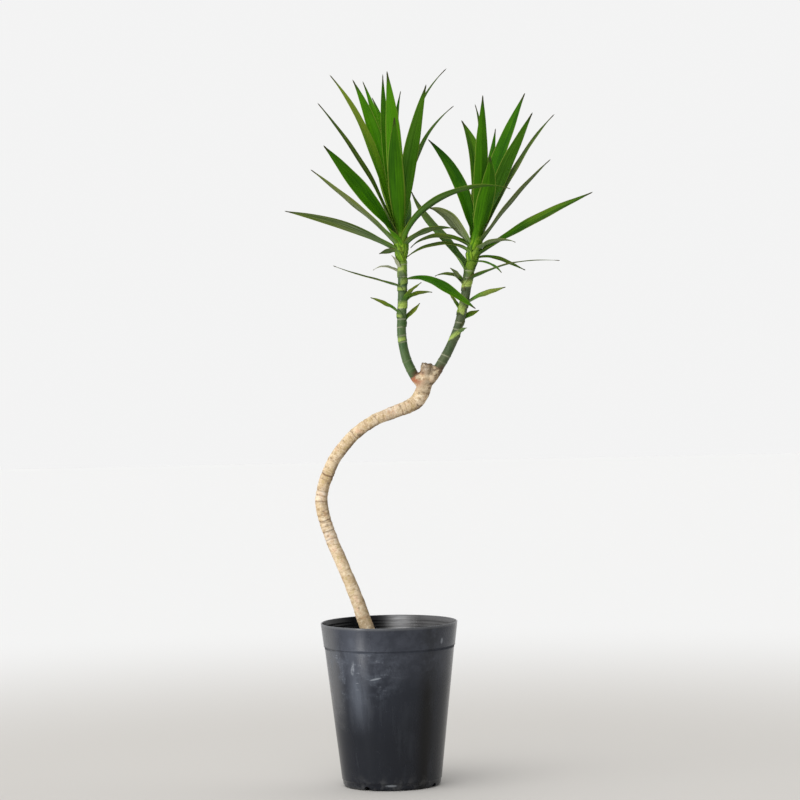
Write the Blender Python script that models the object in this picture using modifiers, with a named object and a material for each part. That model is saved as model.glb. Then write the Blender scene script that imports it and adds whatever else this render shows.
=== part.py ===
"""Young dracaena with two leafy heads on a bent cane, standing in a plastic nursery pot.

Sizes are in millimetres. X runs to the right, Y away from the front, Z up, and the origin
is the centre of the pot's underside.
"""

import math

import bmesh
import bpy
import numpy as np

MM = 0.001
# Clearance between two pieces that rest on or in each other
GAP = 0.3
# Distance below which two points of a mesh are one
WELD = 0.01

# Pot
POT_HEIGHT = 180.0
POT_RIM_RADIUS = 75.0
POT_FOOT_RADIUS = 54.0
POT_WALL = 1.5
POT_FLOOR = 2.2
POT_BAND_HEIGHT = 26.0
POT_BAND_PROUD = 0.8
POT_FOOT_HEIGHT = 8.0
POT_FOOT_STEP = 0.6
POT_CORNER = 4.0
POT_CORNER_STEPS = 3
POT_INNER_CORNER = 1.2
POT_EDGE = 0.6
POT_SIDES = 64
NOTCH_RADIUS = 4.5
NOTCH_LENGTH = 20.0
NOTCH_SIDES = 16
NOTCH_COUNT = 4
NOTCH_FIRST_ANGLE = -30.5

# Soil
SOIL_TOP = 155.0
SOIL_MOUND = 3.0
# Mound as (share of the soil's radius, share of the mound's height), from the middle out
SOIL_MOUND_SHAPE = [(0.0, 1.0), (0.4, 0.8), (0.8, 0.2)]
SOIL_CHAMFER = 5.0
TRUNK_HOLE_CLEARANCE = 0.4
TRUNK_HOLE_ABOVE = 25.0

# Trunk: centre line as (x, y, z, radius), from the buried end to the sawn stub
TRUNK_ROUTE = [
    (14, 0, 60, 8.0),
    (-2, 0, 107, 8.2),
    (-18.3, 0, 155, 8.2),
    (-34, 1, 203, 7.3),
    (-47, 2, 237, 6.9),
    (-63, 4, 277, 6.8),
    (-71, 5, 307, 6.8),
    (-70, 5, 325, 6.8),
    (-64, 4, 343, 6.8),
    (-54, 3, 363, 6.7),
    (-33, 1, 387, 6.5),
    (-11, -1, 402, 6.5),
    (12, -2, 411, 6.9),
    (26, -1, 416, 7.5),
    (36, 0, 422.5, 8.0),
    (41.8, 0, 431.5, 8.2),
    (44.6, 0, 441, 8.2),
    (46, 0, 450, 7.4),
    (47, 0, 458, 6.3),
    (47.6, 0, 463, 5.9),
]
TRUNK_BURIED_POINTS = 3
# Curve bevel steps a quarter turn, and the length of a stem's straight pieces
STEM_RESOLUTION = 3
TRUNK_STEP = 8.0
COLLAR_STEP = 4.0
CANE_STEP = 6.0
STEM_SMOOTH_ANGLE = 50.0

# Forks: where each green cane stands on the trunk's collar, and which way it leaves
LEFT_SEAT = (33.2, 0.0, 450.6)
LEFT_SEAT_LEAN = -35.0
LEFT_COLLAR = [(45, 0, 437, 6.5), (39.5, 0, 443.5, 6.8)]
RIGHT_SEAT = (60.2, 0.0, 458.2)
RIGHT_SEAT_LEAN = 34.0
RIGHT_COLLAR = [(46, 0, 442, 6.8), (53, 0, 449, 6.8)]
SEAT_RADIUS = 5.4
SEAT_STRAIGHT = 2.0

# Canes: centre line as (x, y, z, radius) above the seat
LEFT_CANE_ROUTE = [
    (26, 0, 465.5, 5.2),
    (22.8, 0, 477.5, 5.0),
    (21, 0, 489, 5.0),
    (20.3, 0, 501, 5.0),
    (21.1, 0, 519, 5.1),
    (22.2, 0, 540, 5.1),
    (22.6, 0, 561, 5.2),
    (22.4, 0, 576, 5.6),
]
RIGHT_CANE_ROUTE = [
    (68.2, 0, 471, 5.2),
    (74, 0, 482, 5.1),
    (79.2, 0, 493.4, 5.1),
    (83, 0, 504, 5.0),
    (86.8, 0, 518, 5.1),
    (90.8, 0, 536, 5.1),
    (93.6, 0, 552, 5.2),
    (96.6, 0, 567, 5.8),
]

# Crown cores: the tight heart of leaf bases above each cane
LEFT_CORE_ROUTE = [
    (22.2, 0, 585, 6.6),
    (21.8, 0, 597, 7.4),
    (21, 0, 612, 6.0),
    (20, 0, 632, 3.6),
    (19, 0, 650, 1.2),
]
RIGHT_CORE_ROUTE = [
    (99, 0, 577, 6.6),
    (102.4, 0, 591, 7.4),
    (106, 0, 606, 6.0),
    (110, 0, 626, 3.6),
    (114, 0, 644, 1.2),
]

# Leaves: height of the base on the stem, tip (x, y, z), lean from upright seen from the
# front at the base and at the tip in degrees, width, and how far the blade rolls open.
LEFT_LEAVES = [
    (596, (-53, 42, 782), -14.5, -38, 16, -10),
    (597, (-28, 60, 777), -12, -26, 18, -28),
    (602, (-17, 85, 776), -13.5, -21.5, 13, -10),
    (604, (-7, 60, 757), -10, -24, 13, -10),
    (606, (5.5, 50, 782), -10, 1, 12, 0),
    (606, (10, -24, 782), -4, -6, 19.5, 10),
    (600, (17, -62, 731), -4, 2, 19, 0),
    (606, (25, 66, 764), -4, 13, 9, 0),
    (602, (52, -42, 766), 4, 16, 18.5, -20),
    (598, (76, 50, 787), 4, 47, 11, -10),
    (597, (83, 32, 745), 2, 52, 13.5, 0),
    (594, (-66, -26, 749), -19, -38.5, 13, -40),
    (592, (-60, -60, 702), -30, -39.5, 20.5, -88),
    (589, (-75, -24, 677), -41, -50.5, 13.5, 20),
    (583, (-104, -32, 632.5), -53, -78, 10.5, 70),
    (585, (-2.5, -12, 584), -72, -112, 7.5, 55),
    (591, (139.5, -88, 651), 8, 109, 12.5, -22),
    (589, (82, -28, 609.5), 36, 101, 13.5, -20),
]
RIGHT_LEAVES = [
    (587, (32, 16, 589.5), -43, -138, 11.5, -28),
    (582, (28, -12, 580), -46, -128, 9, -26),
    (588, (53, 5, 633), -37, -84, 15.5, 62),
    (592, (54, 40, 709), -2, -44, 16, -38),
    (596, (92, 70, 730), 12, -28, 20.5, 0),
    (600, (107.6, 80, 748), 2, -15, 8, 0),
    (600, (113.5, -22, 754), 5, 1, 17, 0),
    (600, (129.3, 62, 720), 10, 8, 11, 0),
    (600, (162, 45, 758), 10, 25, 18.5, 20),
    (596, (167, -26, 734), 19, 27.5, 18.5, -35),
    (594, (194, 42, 734), 30.5, 44, 16, 0),
    (588, (186, -18, 683), 37.5, 48, 11, -22),
    (577, (231, -24, 646.5), 55.5, 66.5, 15, 45),
    (594, (119, -55, 687), 13, -4, 21, 0),
    (583, (146, -28, 593.5), 48, 116, 11.5, -20),
    (576, (157, -6, 563), 70, 114, 8, 32),
    (573, (130, -34, 561), 82, 140, 8, 0),
]
# Leaves that lean away from the front, behind the ones above
LEFT_BACK_LEAVES = [
    (590, (8, 118, 668), -5, -6, 17, 0),
    (588, (31, 112, 655), 4, 6, 16, 0),
    (586, (20, 126, 628), 0, 0, 16, 0),
    (594, (-4, 100, 706), -8, -10, 16, 0),
    (596, (20, 98, 716), 0, 2, 15, 0),
]
RIGHT_BACK_LEAVES = [
    (586, (113, 122, 660), 8, 5, 17, 0),
    (588, (130, 112, 690), 14, 16, 16, 0),
    (590, (112, 98, 702), 7, 4, 16, 0),
    (594, (143, 95, 714), 18, 22, 15, 0),
    (582, (118, 126, 634), 10, 10, 16, 0),
]
# Small leaves and leaf sheaths on the canes, below the crowns
LEFT_LOW_LEAVES = [
    (554.5, (101, -38, 522.5), 77, 125, 15.5, 30),
    (562, (-9.5, 8, 566), -48, -130, 8, -15),
    (564, (11, -6, 582), -25, -45, 9, 0),
    (547, (-53, -10, 572), -69, -66, 7, -15),
    (518, (-13, -12, 536.5), -48, -67, 9, -38),
    (531, (43, -14, 552), 26, 52, 11, 0),
    (528, (55, 10, 540.5), 24, 98, 9.5, 25),
    (508, (41, 8, 529), 33, 36, 8.5, 22),
]
RIGHT_LOW_LEAVES = [
    (548, (58, 10, 558), -24, -118, 9, -22),
    (546, (75, 6, 567), -36, -50, 12, -16),
    (527, (135, -8, 545), 56, 72, 11, 35),
    (508, (106, 10, 520), 40, 66, 9, 32),
    (492, (92, -6, 501), 38, 85, 9, -15),
    (520, (73, 8, 539), -38, -46, 9, 0),
    (553, (193, -45, 573), 60, 95, 9, 0),
    (558, (34.5, 40, 652), -16, -18, 14, -20),
]

# How every blade is shaped
BLADE_THICKNESS = 0.8
BLADE_STATIONS = 10
BLADE_REACH = 0.36
BLADE_START_DEPTH = 0.28
BLADE_END_DEPTH = 0.40
BLADE_BASE_SHARE = 0.62
BLADE_WIDEST = 0.42
BLADE_SWELL_POWER = 1.5
BLADE_TAPER_POWER = 2.1
BLADE_TIP_SHARE = 0.07
BLADE_ROOT_OFFSET = 3.0
ROLL_AT_BASE = 0.35
ROLL_GROWTH = 1.3
FOLD_TIP = 12.0
FOLD_BASE = 28.0
FOLD_FADE = 3
# Points of a fused plant closer than this are merged
FUSE_CLEAN = 0.002

POT_COLOUR = (0.022, 0.026, 0.034, 1.0)
SOIL_COLOUR = (0.035, 0.022, 0.014, 1.0)
TRUNK_COLOUR = (0.56, 0.43, 0.26, 1.0)
CANE_COLOUR = (0.06, 0.16, 0.05, 1.0)
LEAF_COLOUR = (0.06, 0.24, 0.01, 1.0)


def clear_scene():
    for thing in list(bpy.data.objects):
        bpy.data.objects.remove(thing, do_unlink=True)


def make_collection(name):
    group = bpy.data.collections.new(name)
    bpy.context.scene.collection.children.link(group)
    return group


def make_material(name, colour, roughness):
    material = bpy.data.materials.new(name)
    material.use_nodes = True
    shader = material.node_tree.nodes["Principled BSDF"]
    shader.inputs["Base Color"].default_value = colour
    shader.inputs["Roughness"].default_value = roughness
    shader.inputs["Metallic"].default_value = 0.0
    return material


def link_object(name, data, group):
    thing = bpy.data.objects.new(name, data)
    group.objects.link(thing)
    return thing


def dress(thing, material):
    thing.data.materials.clear()
    thing.data.materials.append(material)


def hide_cutter(thing):
    thing.hide_render = True
    thing.display_type = "WIRE"


def evaluated_mesh(thing, name):
    """The mesh that an object shows with its modifiers, as a mesh of its own."""
    bpy.context.view_layer.update()
    depsgraph = bpy.context.evaluated_depsgraph_get()
    mesh = bpy.data.meshes.new_from_object(thing.evaluated_get(depsgraph))
    mesh.name = name
    return mesh


def turned(name, profile, group):
    """Solid of revolution from a profile of (radius, height) that ends on the axis."""
    mesh = bpy.data.meshes.new(name)
    shape = bmesh.new()
    corners = [shape.verts.new((r * MM, 0.0, z * MM)) for r, z in profile]
    for first, second in zip(corners, corners[1:]):
        shape.edges.new((first, second))
    shape.to_mesh(mesh)
    shape.free()
    thing = link_object(name, mesh, group)
    screw = thing.modifiers.new("turn", "SCREW")
    screw.steps = POT_SIDES
    screw.render_steps = POT_SIDES
    screw.use_merge_vertices = True
    screw.merge_threshold = WELD * MM
    screw.use_smooth_shade = True
    return thing


def cut(thing, cutter, name):
    tool = thing.modifiers.new(name, "BOOLEAN")
    tool.operation = "DIFFERENCE"
    tool.object = cutter
    tool.solver = "EXACT"


def spline_value(a, b, c, d, t):
    """Point on the Catmull-Rom curve between b and c."""
    return 0.5 * (2 * b + (c - a) * t + (2 * a - 5 * b + 4 * c - d) * t**2
                  + (3 * b - a - 3 * c + d) * t**3)


def smooth_route(route, step):
    """Route of (x, y, z, radius) rows read again from a smooth curve, about step apart."""
    rows = np.array(route, dtype=float)
    padded = np.vstack([2 * rows[0] - rows[1], rows, 2 * rows[-1] - rows[-2]])
    result = [rows[0]]
    for index in range(len(rows) - 1):
        a, b, c, d = padded[index:index + 4]
        pieces = max(1, round(np.linalg.norm((c - b)[:3]) / step))
        for piece in range(1, pieces + 1):
            result.append(spline_value(a, b, c, d, piece / pieces))
    return result


def tube(name, rows, group):
    """Round stem along rows of (x, y, z, radius), as one closed mesh object."""
    curve = bpy.data.curves.new(name, "CURVE")
    curve.dimensions = "3D"
    curve.bevel_depth = MM
    curve.bevel_resolution = STEM_RESOLUTION
    curve.use_fill_caps = True
    spline = curve.splines.new("POLY")
    spline.points.add(len(rows) - 1)
    for point, (x, y, z, radius) in zip(spline.points, rows):
        point.co = (x * MM, y * MM, z * MM, 1.0)
        point.radius = radius
    guide = link_object(name + "_guide", curve, group)
    mesh = evaluated_mesh(guide, name)
    matrix = guide.matrix_world.copy()
    bpy.data.objects.remove(guide, do_unlink=True)
    bpy.data.curves.remove(curve)
    shape = bmesh.new()
    shape.from_mesh(mesh)
    bmesh.ops.remove_doubles(shape, verts=shape.verts, dist=WELD * MM)
    bmesh.ops.triangulate(shape, faces=[face for face in shape.faces if len(face.verts) > 4])
    shape.to_mesh(mesh)
    shape.free()
    mesh.shade_smooth()
    mesh.set_sharp_from_angle(angle=math.radians(STEM_SMOOTH_ANGLE))
    thing = link_object(name, mesh, group)
    thing.matrix_world = matrix
    return thing


def connected_bodies(shape):
    """Vertices of each separate skin: the outer one, sealed hollows and loose scraps."""
    left = set(shape.verts)
    bodies = []
    while left:
        body = []
        reached = [left.pop()]
        while reached:
            vert = reached.pop()
            body.append(vert)
            for edge in vert.link_edges:
                other = edge.other_vert(vert)
                if other in left:
                    left.remove(other)
                    reached.append(other)
        bodies.append(body)
    return bodies


def fuse(thing, operands):
    """One union of a solid with every solid in a collection, which is then emptied."""
    tool = thing.modifiers.new("fuse", "BOOLEAN")
    tool.operation = "UNION"
    tool.operand_type = "COLLECTION"
    tool.collection = operands
    tool.solver = "EXACT"
    mesh = evaluated_mesh(thing, thing.name)
    thing.modifiers.clear()
    thing.data = mesh
    for operand in list(operands.objects):
        bpy.data.objects.remove(operand, do_unlink=True)
    bpy.data.collections.remove(operands)
    shape = bmesh.new()
    shape.from_mesh(mesh)
    bmesh.ops.dissolve_degenerate(shape, dist=FUSE_CLEAN * MM, edges=shape.edges)
    bmesh.ops.triangulate(shape, faces=shape.faces)
    # An edge along which two leaves only touch closes to a point
    pinched = [edge for edge in shape.edges if len(edge.link_faces) > 2]
    bmesh.ops.collapse(shape, edges=pinched)
    bare = [edge for edge in shape.edges if not edge.link_faces]
    bmesh.ops.delete(shape, geom=bare, context="EDGES")
    bodies = sorted(connected_bodies(shape), key=len)
    for scrap in bodies[:-1]:
        bmesh.ops.delete(shape, geom=scrap, context="VERTS")
    shape.to_mesh(mesh)
    shape.free()


def slant(lean):
    angle = math.radians(lean)
    return np.array([math.sin(angle), math.cos(angle)])


def midrib(base, tip, start, end, share):
    """Place and direction of a leaf's midrib, at a share of its length from the base."""
    chord = tip - base
    reach = BLADE_REACH * math.hypot(chord[0], chord[2])
    rise, fall = slant(start), slant(end)
    after = base + np.array([reach * rise[0], BLADE_START_DEPTH * chord[1], reach * rise[1]])
    before = tip - np.array([reach * fall[0], BLADE_END_DEPTH * chord[1], reach * fall[1]])
    rest = 1.0 - share
    place = (base * rest**3 + 3 * after * share * rest**2
             + 3 * before * share**2 * rest + tip * share**3)
    along = (3 * (after - base) * rest**2 + 6 * (before - after) * share * rest
             + 3 * (tip - before) * share**2)
    return place, along / np.linalg.norm(along)


def half_width(width, share):
    """Half of a blade's width: a waisted base, a broad middle and a long drawn tip."""
    rise = math.sin(0.5 * math.pi * min(share / BLADE_WIDEST, 1.0)) ** BLADE_SWELL_POWER
    swell = BLADE_BASE_SHARE + (1.0 - BLADE_BASE_SHARE) * rise
    beyond = max(0.0, (share - BLADE_WIDEST) / (1.0 - BLADE_WIDEST))
    taper = max(1.0 - beyond ** BLADE_TAPER_POWER, BLADE_TIP_SHARE)
    return 0.5 * width * swell * taper


def blade_point(base, tip, start, end, width, roll, share, across):
    """Point of a folded blade; across runs from -1 at one edge to 1 at the other."""
    place, along = midrib(base, tip, start, end, share)
    chord = tip - base
    level = np.array([-chord[1], chord[0], 0.0]) / math.hypot(chord[0], chord[1])
    side = level - np.dot(level, along) * along
    side /= np.linalg.norm(side)
    face = np.cross(along, side)
    turn = math.radians(roll) * min(1.0, ROLL_AT_BASE + ROLL_GROWTH * share)
    fold = math.radians(FOLD_TIP + FOLD_BASE * (1.0 - share) ** FOLD_FADE)
    out = across * math.cos(fold)
    up = abs(across) * math.sin(fold)
    lean_out = side * math.cos(turn) + face * math.sin(turn)
    lean_up = face * math.cos(turn) - side * math.sin(turn)
    return place + half_width(width, share) * (out * lean_out + up * lean_up)


def stem_centre(rows, height):
    """Centre of a stem at a height, from its rows of (x, y, z, radius)."""
    table = np.array(rows)
    x = np.interp(height, table[:, 2], table[:, 0])
    y = np.interp(height, table[:, 2], table[:, 1])
    return np.array([x, y, height])


def leaf(name, stem, height, tip, start, end, width, roll, group):
    """One blade whose root is sunk in the stem."""
    tip = np.array(tip, dtype=float)
    centre = stem_centre(stem, height)
    out = math.atan2(tip[1] - centre[1], tip[0] - centre[0])
    base = centre + BLADE_ROOT_OFFSET * np.array([math.cos(out), math.sin(out), 0.0])
    mesh = bpy.data.meshes.new(name)
    shape = bmesh.new()
    bmesh.ops.create_grid(shape, x_segments=2, y_segments=BLADE_STATIONS - 1, size=1.0)
    for vert in shape.verts:
        share = 0.5 + 0.5 * vert.co.y
        point = blade_point(base, tip, start, end, width, roll, share, vert.co.x)
        vert.co = point * MM
    bmesh.ops.triangulate(shape, faces=shape.faces)
    shape.to_mesh(mesh)
    shape.free()
    thing = link_object(name, mesh, group)
    skin = thing.modifiers.new("thickness", "SOLIDIFY")
    skin.thickness = BLADE_THICKNESS * MM
    skin.offset = 0.0
    return thing


def stem_with_leaves(name, stem, leaves, group, material):
    """A stem and every leaf that grows from it, joined in one solid."""
    thing = tube(name, stem, group)
    blades = make_collection(name + "_blades")
    for number, row in enumerate(leaves):
        leaf("%s_blade_%02d" % (name, number), stem, *row, blades)
    fuse(thing, blades)
    dress(thing, material)
    return thing


def toward(seat, lean, distance):
    """Point that far from a seat along its lean, in the plane of the fork."""
    x, y, z = seat
    across, up = slant(lean) * distance
    return (x + across, y, z + up)


def collar_rows(collar, seat, lean):
    """Collar on the trunk that ends square at the seat."""
    below = toward(seat, lean, -SEAT_STRAIGHT) + (SEAT_RADIUS,)
    return smooth_route(collar + [below], COLLAR_STEP) + [np.array(seat + (SEAT_RADIUS,))]


def cane_rows(seat, lean, route):
    """Cane that starts square on the seat."""
    start = toward(seat, lean, GAP) + (SEAT_RADIUS,)
    above = toward(seat, lean, GAP + SEAT_STRAIGHT) + (SEAT_RADIUS,)
    return [np.array(start)] + smooth_route([above] + route, CANE_STEP)


def core_rows(cane, route):
    """Crown core that starts square above the end of its cane."""
    before, last = cane[-2], cane[-1]
    along = (last - before)[:3]
    along /= np.linalg.norm(along)
    start = np.append(last[:3] + GAP * along, last[3])
    above = np.append(last[:3] + (GAP + SEAT_STRAIGHT) * along, last[3])
    return [start] + smooth_route([tuple(above)] + route, CANE_STEP)


def outer_radius(height):
    """Radius of the pot's tapered wall, without the rim band."""
    taper = (POT_RIM_RADIUS - POT_BAND_PROUD - POT_FOOT_RADIUS) / POT_HEIGHT
    return POT_FOOT_RADIUS + taper * height


def inner_radius(height):
    return outer_radius(height) - POT_WALL


def pot_profile():
    """From the middle of the floor, up the inside, over the rim and down the outside."""
    band = POT_HEIGHT - POT_BAND_HEIGHT
    mouth = inner_radius(POT_HEIGHT) + POT_BAND_PROUD
    inside_corner = POT_FLOOR + POT_INNER_CORNER
    foot = outer_radius(POT_FOOT_HEIGHT) - POT_FOOT_STEP
    corner = outer_radius(POT_CORNER) - POT_FOOT_STEP - POT_CORNER
    profile = [
        (0.0, POT_FLOOR),
        (inner_radius(POT_FLOOR) - POT_CORNER, POT_FLOOR),
        (inner_radius(inside_corner), inside_corner),
        (inner_radius(POT_FLOOR + POT_CORNER), POT_FLOOR + POT_CORNER),
        (mouth, POT_HEIGHT - POT_EDGE),
        (mouth + POT_EDGE, POT_HEIGHT),
        (POT_RIM_RADIUS - POT_EDGE, POT_HEIGHT),
        (POT_RIM_RADIUS, POT_HEIGHT - POT_EDGE),
        (outer_radius(band) + POT_BAND_PROUD, band),
        (outer_radius(band - POT_BAND_PROUD), band - POT_BAND_PROUD),
        (outer_radius(POT_FOOT_HEIGHT), POT_FOOT_HEIGHT),
        (foot, POT_FOOT_HEIGHT - POT_FOOT_STEP),
    ]
    for step in range(POT_CORNER_STEPS + 1):
        angle = 0.5 * math.pi * step / POT_CORNER_STEPS
        profile.append((corner + POT_CORNER * math.cos(angle),
                        POT_CORNER * (1.0 - math.sin(angle))))
    profile.append((0.0, 0.0))
    return profile


def notch(number, group):
    """Round drain notch across the pot's bottom corner."""
    angle = math.radians(NOTCH_FIRST_ANGLE + 360.0 / NOTCH_COUNT * number)
    away = POT_FOOT_RADIUS * MM
    mesh = bpy.data.meshes.new("notch_%d" % number)
    shape = bmesh.new()
    bmesh.ops.create_cone(shape, cap_ends=True, segments=NOTCH_SIDES, radius1=NOTCH_RADIUS * MM,
                          radius2=NOTCH_RADIUS * MM, depth=NOTCH_LENGTH * MM)
    shape.to_mesh(mesh)
    shape.free()
    cutter = link_object("notch_%d" % number, mesh, group)
    cutter.rotation_euler = (0.0, 0.5 * math.pi, angle)
    cutter.location = (away * math.cos(angle), away * math.sin(angle), 0.0)
    hide_cutter(cutter)
    return cutter


def make_pot(parts, cutters):
    pot = turned("pot", pot_profile(), parts)
    for number in range(NOTCH_COUNT):
        cut(pot, notch(number, cutters), "notch_%d" % number)
    dress(pot, make_material("black_plastic", POT_COLOUR, 0.45))


def make_soil(parts, cutters):
    """Soil that fills the pot, a little higher in the middle, with the trunk's hole."""
    low = POT_FLOOR + GAP
    top = inner_radius(SOIL_TOP) - GAP
    bottom = inner_radius(low + POT_CORNER) - GAP
    profile = [(out * top, SOIL_TOP + up * SOIL_MOUND) for out, up in SOIL_MOUND_SHAPE]
    profile += [
        (top, SOIL_TOP),
        (bottom, low + POT_CORNER),
        (bottom - SOIL_CHAMFER, low),
        (0.0, low),
    ]
    soil = turned("soil", profile, parts)
    buried = np.array(TRUNK_ROUTE[:TRUNK_BURIED_POINTS], dtype=float)
    buried[:, 3] = buried[:, 3].max() + TRUNK_HOLE_CLEARANCE
    along = buried[-1] - buried[0]
    along /= np.linalg.norm(along)
    below = buried[0] - GAP * along
    above = buried[-1] + TRUNK_HOLE_ABOVE * along
    hole = tube("trunk_hole", [below, above], cutters)
    hide_cutter(hole)
    cut(soil, hole, "trunk_hole")
    dress(soil, make_material("potting_soil", SOIL_COLOUR, 0.95))


def make_trunk(parts):
    """Bent woody cane with its sawn stub and a collar for each green cane."""
    trunk = tube("trunk", smooth_route(TRUNK_ROUTE, TRUNK_STEP), parts)
    collars = make_collection("trunk_collars")
    tube("left_collar", collar_rows(LEFT_COLLAR, LEFT_SEAT, LEFT_SEAT_LEAN), collars)
    tube("right_collar", collar_rows(RIGHT_COLLAR, RIGHT_SEAT, RIGHT_SEAT_LEAN), collars)
    fuse(trunk, collars)
    dress(trunk, make_material("trunk_bark", TRUNK_COLOUR, 0.75))


def make_shoot(side, seat, lean, cane_route, core_route, low_leaves, crown_leaves, parts):
    """One green cane with its small leaves, and the crown of leaves on top of it."""
    green = make_material(side + "_cane_skin", CANE_COLOUR, 0.5)
    blade = make_material(side + "_crown_leaf", LEAF_COLOUR, 0.35)
    cane = cane_rows(seat, lean, cane_route)
    core = core_rows(cane, core_route)
    stem_with_leaves(side + "_cane", cane, low_leaves, parts, green)
    stem_with_leaves(side + "_crown", core, crown_leaves, parts, blade)


def main():
    clear_scene()
    parts = make_collection("potted_dracaena")
    cutters = make_collection("cutters")
    make_pot(parts, cutters)
    make_soil(parts, cutters)
    make_trunk(parts)
    make_shoot("left", LEFT_SEAT, LEFT_SEAT_LEAN, LEFT_CANE_ROUTE, LEFT_CORE_ROUTE,
               LEFT_LOW_LEAVES, LEFT_LEAVES + LEFT_BACK_LEAVES, parts)
    make_shoot("right", RIGHT_SEAT, RIGHT_SEAT_LEAN, RIGHT_CANE_ROUTE, RIGHT_CORE_ROUTE,
               RIGHT_LOW_LEAVES, RIGHT_LEAVES + RIGHT_BACK_LEAVES, parts)


main()
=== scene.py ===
import math

import bmesh
import bpy
import numpy as np
from mathutils import Matrix, Vector, noise
from mathutils.kdtree import KDTree


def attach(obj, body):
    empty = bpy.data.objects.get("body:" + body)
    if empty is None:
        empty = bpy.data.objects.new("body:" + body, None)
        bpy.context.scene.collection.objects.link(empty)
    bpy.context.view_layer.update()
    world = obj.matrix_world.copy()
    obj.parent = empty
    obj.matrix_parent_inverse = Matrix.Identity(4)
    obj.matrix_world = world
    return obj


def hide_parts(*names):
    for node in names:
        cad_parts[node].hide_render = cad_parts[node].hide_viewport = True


# Potted dracaena: fine leaves, bark, soil and pot in place of the plain solids.
# Shapes are in millimetres, in the frame of the solids. Materials and lights are in metres.

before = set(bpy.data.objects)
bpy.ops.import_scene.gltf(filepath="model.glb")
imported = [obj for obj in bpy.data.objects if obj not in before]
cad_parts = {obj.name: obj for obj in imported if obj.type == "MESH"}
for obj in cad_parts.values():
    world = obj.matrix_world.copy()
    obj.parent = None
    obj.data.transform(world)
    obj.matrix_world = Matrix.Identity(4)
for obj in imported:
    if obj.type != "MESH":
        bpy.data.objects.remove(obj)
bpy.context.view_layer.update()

MM = 0.001

# Camera at the photograph's angle: its place in metres, its angles in degrees
CAMERA_PLACE = (0.0, -4.1, 0.6)
CAMERA_LENS = 168.43
CAMERA_SENSOR = 36.0
CAMERA_YAW = 0.2388
CAMERA_PITCH = 2.46586
CAMERA_ROLL = -1.15064

# Pot
POT_HEIGHT = 180.0
POT_RIM_RADIUS = 75.0
POT_FOOT_RADIUS = 54.0
POT_WALL = 1.5
POT_FLOOR = 2.2
POT_BAND_HEIGHT = 26.0
POT_BAND_PROUD = 0.8
POT_FOOT_HEIGHT = 8.0
POT_FOOT_STEP = 0.6
POT_CORNER = 4.0
POT_SIDES = 180
INSIDE_DEPTH = 0.6
RIDGE_COUNT = 6
RIDGE_START = 157.0
RIDGE_STEP = 3.4
NOTCH_RADIUS = 4.5
NOTCH_LENGTH = 20.0
NOTCH_SIDES = 40
NOTCH_COUNT = 4
NOTCH_FIRST_ANGLE = -30.5

# Scratches on the pot: middle, half size in x, y and z, tilt in degrees, evenness
POT_SCRATCHES = [
    ((-15.6, -64, 124.3), (8, 30, 1.2), -12, 0), ((-40.5, -55, 135), (2.4, 30, 11), 4, 0),
    ((57, -44, 162.5), (1.5, 30, 4.0), 10, 1), ((-1, -54, 6.0), (8, 30, 1.6), 0, 0),
]

# Soil
SOIL_TOP = 155.0
SOIL_MOUND = 3.0
SOIL_SIDES = 150
SOIL_RINGS = 52
CRUMB_COUNT = 900
TRUNK_AT_SOIL = -18.5
TRUNK_CLEARANCE = 9.4

# Trunk centre line as (x, y, z, radius)
TRUNK_ROUTE = [
    (14, 0, 60, 8.0), (-2, 0, 107, 8.2), (-18.3, 0, 155, 8.2), (-34, 1, 203, 7.3),
    (-47, 2, 237, 6.9), (-63, 4, 277, 6.8), (-71, 5, 307, 6.8), (-70, 5, 325, 6.8),
    (-64, 4, 343, 6.8), (-54, 3, 363, 6.7), (-33, 1, 387, 6.5), (-11, -1, 402, 6.5),
    (12, -2, 411, 6.9), (26, -1, 416, 7.5), (36, 0, 422.5, 8.0), (41.8, 0, 431.5, 8.2),
    (44.6, 0, 441, 8.2), (46, 0, 450, 7.4), (47, 0, 458, 6.3), (47.6, 0, 463, 5.9),
]
TRUNK_STEP = 1.5
TRUNK_SIDES = 32
TRUNK_VOXEL = 0.75
SCARS_START = 104.0
SCARS_END = 26.0
SPECK_COUNT = 46
# Seats of the two canes on their collars
LEFT_SEAT = (33.2, 0.0, 450.6)
LEFT_SEAT_LEAN = -35.0
LEFT_COLLAR = [(45, 0, 437, 6.5), (39.5, 0, 443.5, 6.8)]
RIGHT_SEAT = (60.2, 0.0, 458.2)
RIGHT_SEAT_LEAN = 34.0
RIGHT_COLLAR = [(46, 0, 442, 6.8), (53, 0, 449, 6.8)]
SEAT_RADIUS = 5.4
SEAT_STRAIGHT = 2.0
GAP = 0.3

# Canes and crown cores as (x, y, z, radius)
CANE_SIDES = 48
CORE_SIDES = 32
LEFT_CANE_ROUTE = [
    (26, 0, 465.5, 5.2), (22.8, 0, 477.5, 5.0), (21, 0, 489, 5.0), (20.3, 0, 501, 5.0),
    (21.1, 0, 519, 5.1), (22.2, 0, 540, 5.1), (22.6, 0, 561, 5.2), (22.4, 0, 576, 5.6),
]
RIGHT_CANE_ROUTE = [
    (68.2, 0, 471, 5.2), (74, 0, 482, 5.1), (79.2, 0, 493.4, 5.1), (83, 0, 504, 5.0),
    (86.8, 0, 518, 5.1), (90.8, 0, 536, 5.1), (93.6, 0, 552, 5.2), (96.6, 0, 567, 5.8),
]
LEFT_CORE_ROUTE = [
    (22.2, 0, 585, 6.6), (21.8, 0, 597, 7.4), (21, 0, 612, 6.0), (20, 0, 632, 3.6),
    (19, 0, 650, 1.2),
]
RIGHT_CORE_ROUTE = [
    (99, 0, 577, 6.6), (102.4, 0, 591, 7.4), (106, 0, 606, 6.0), (110, 0, 626, 3.6),
    (114, 0, 644, 1.2),
]

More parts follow.
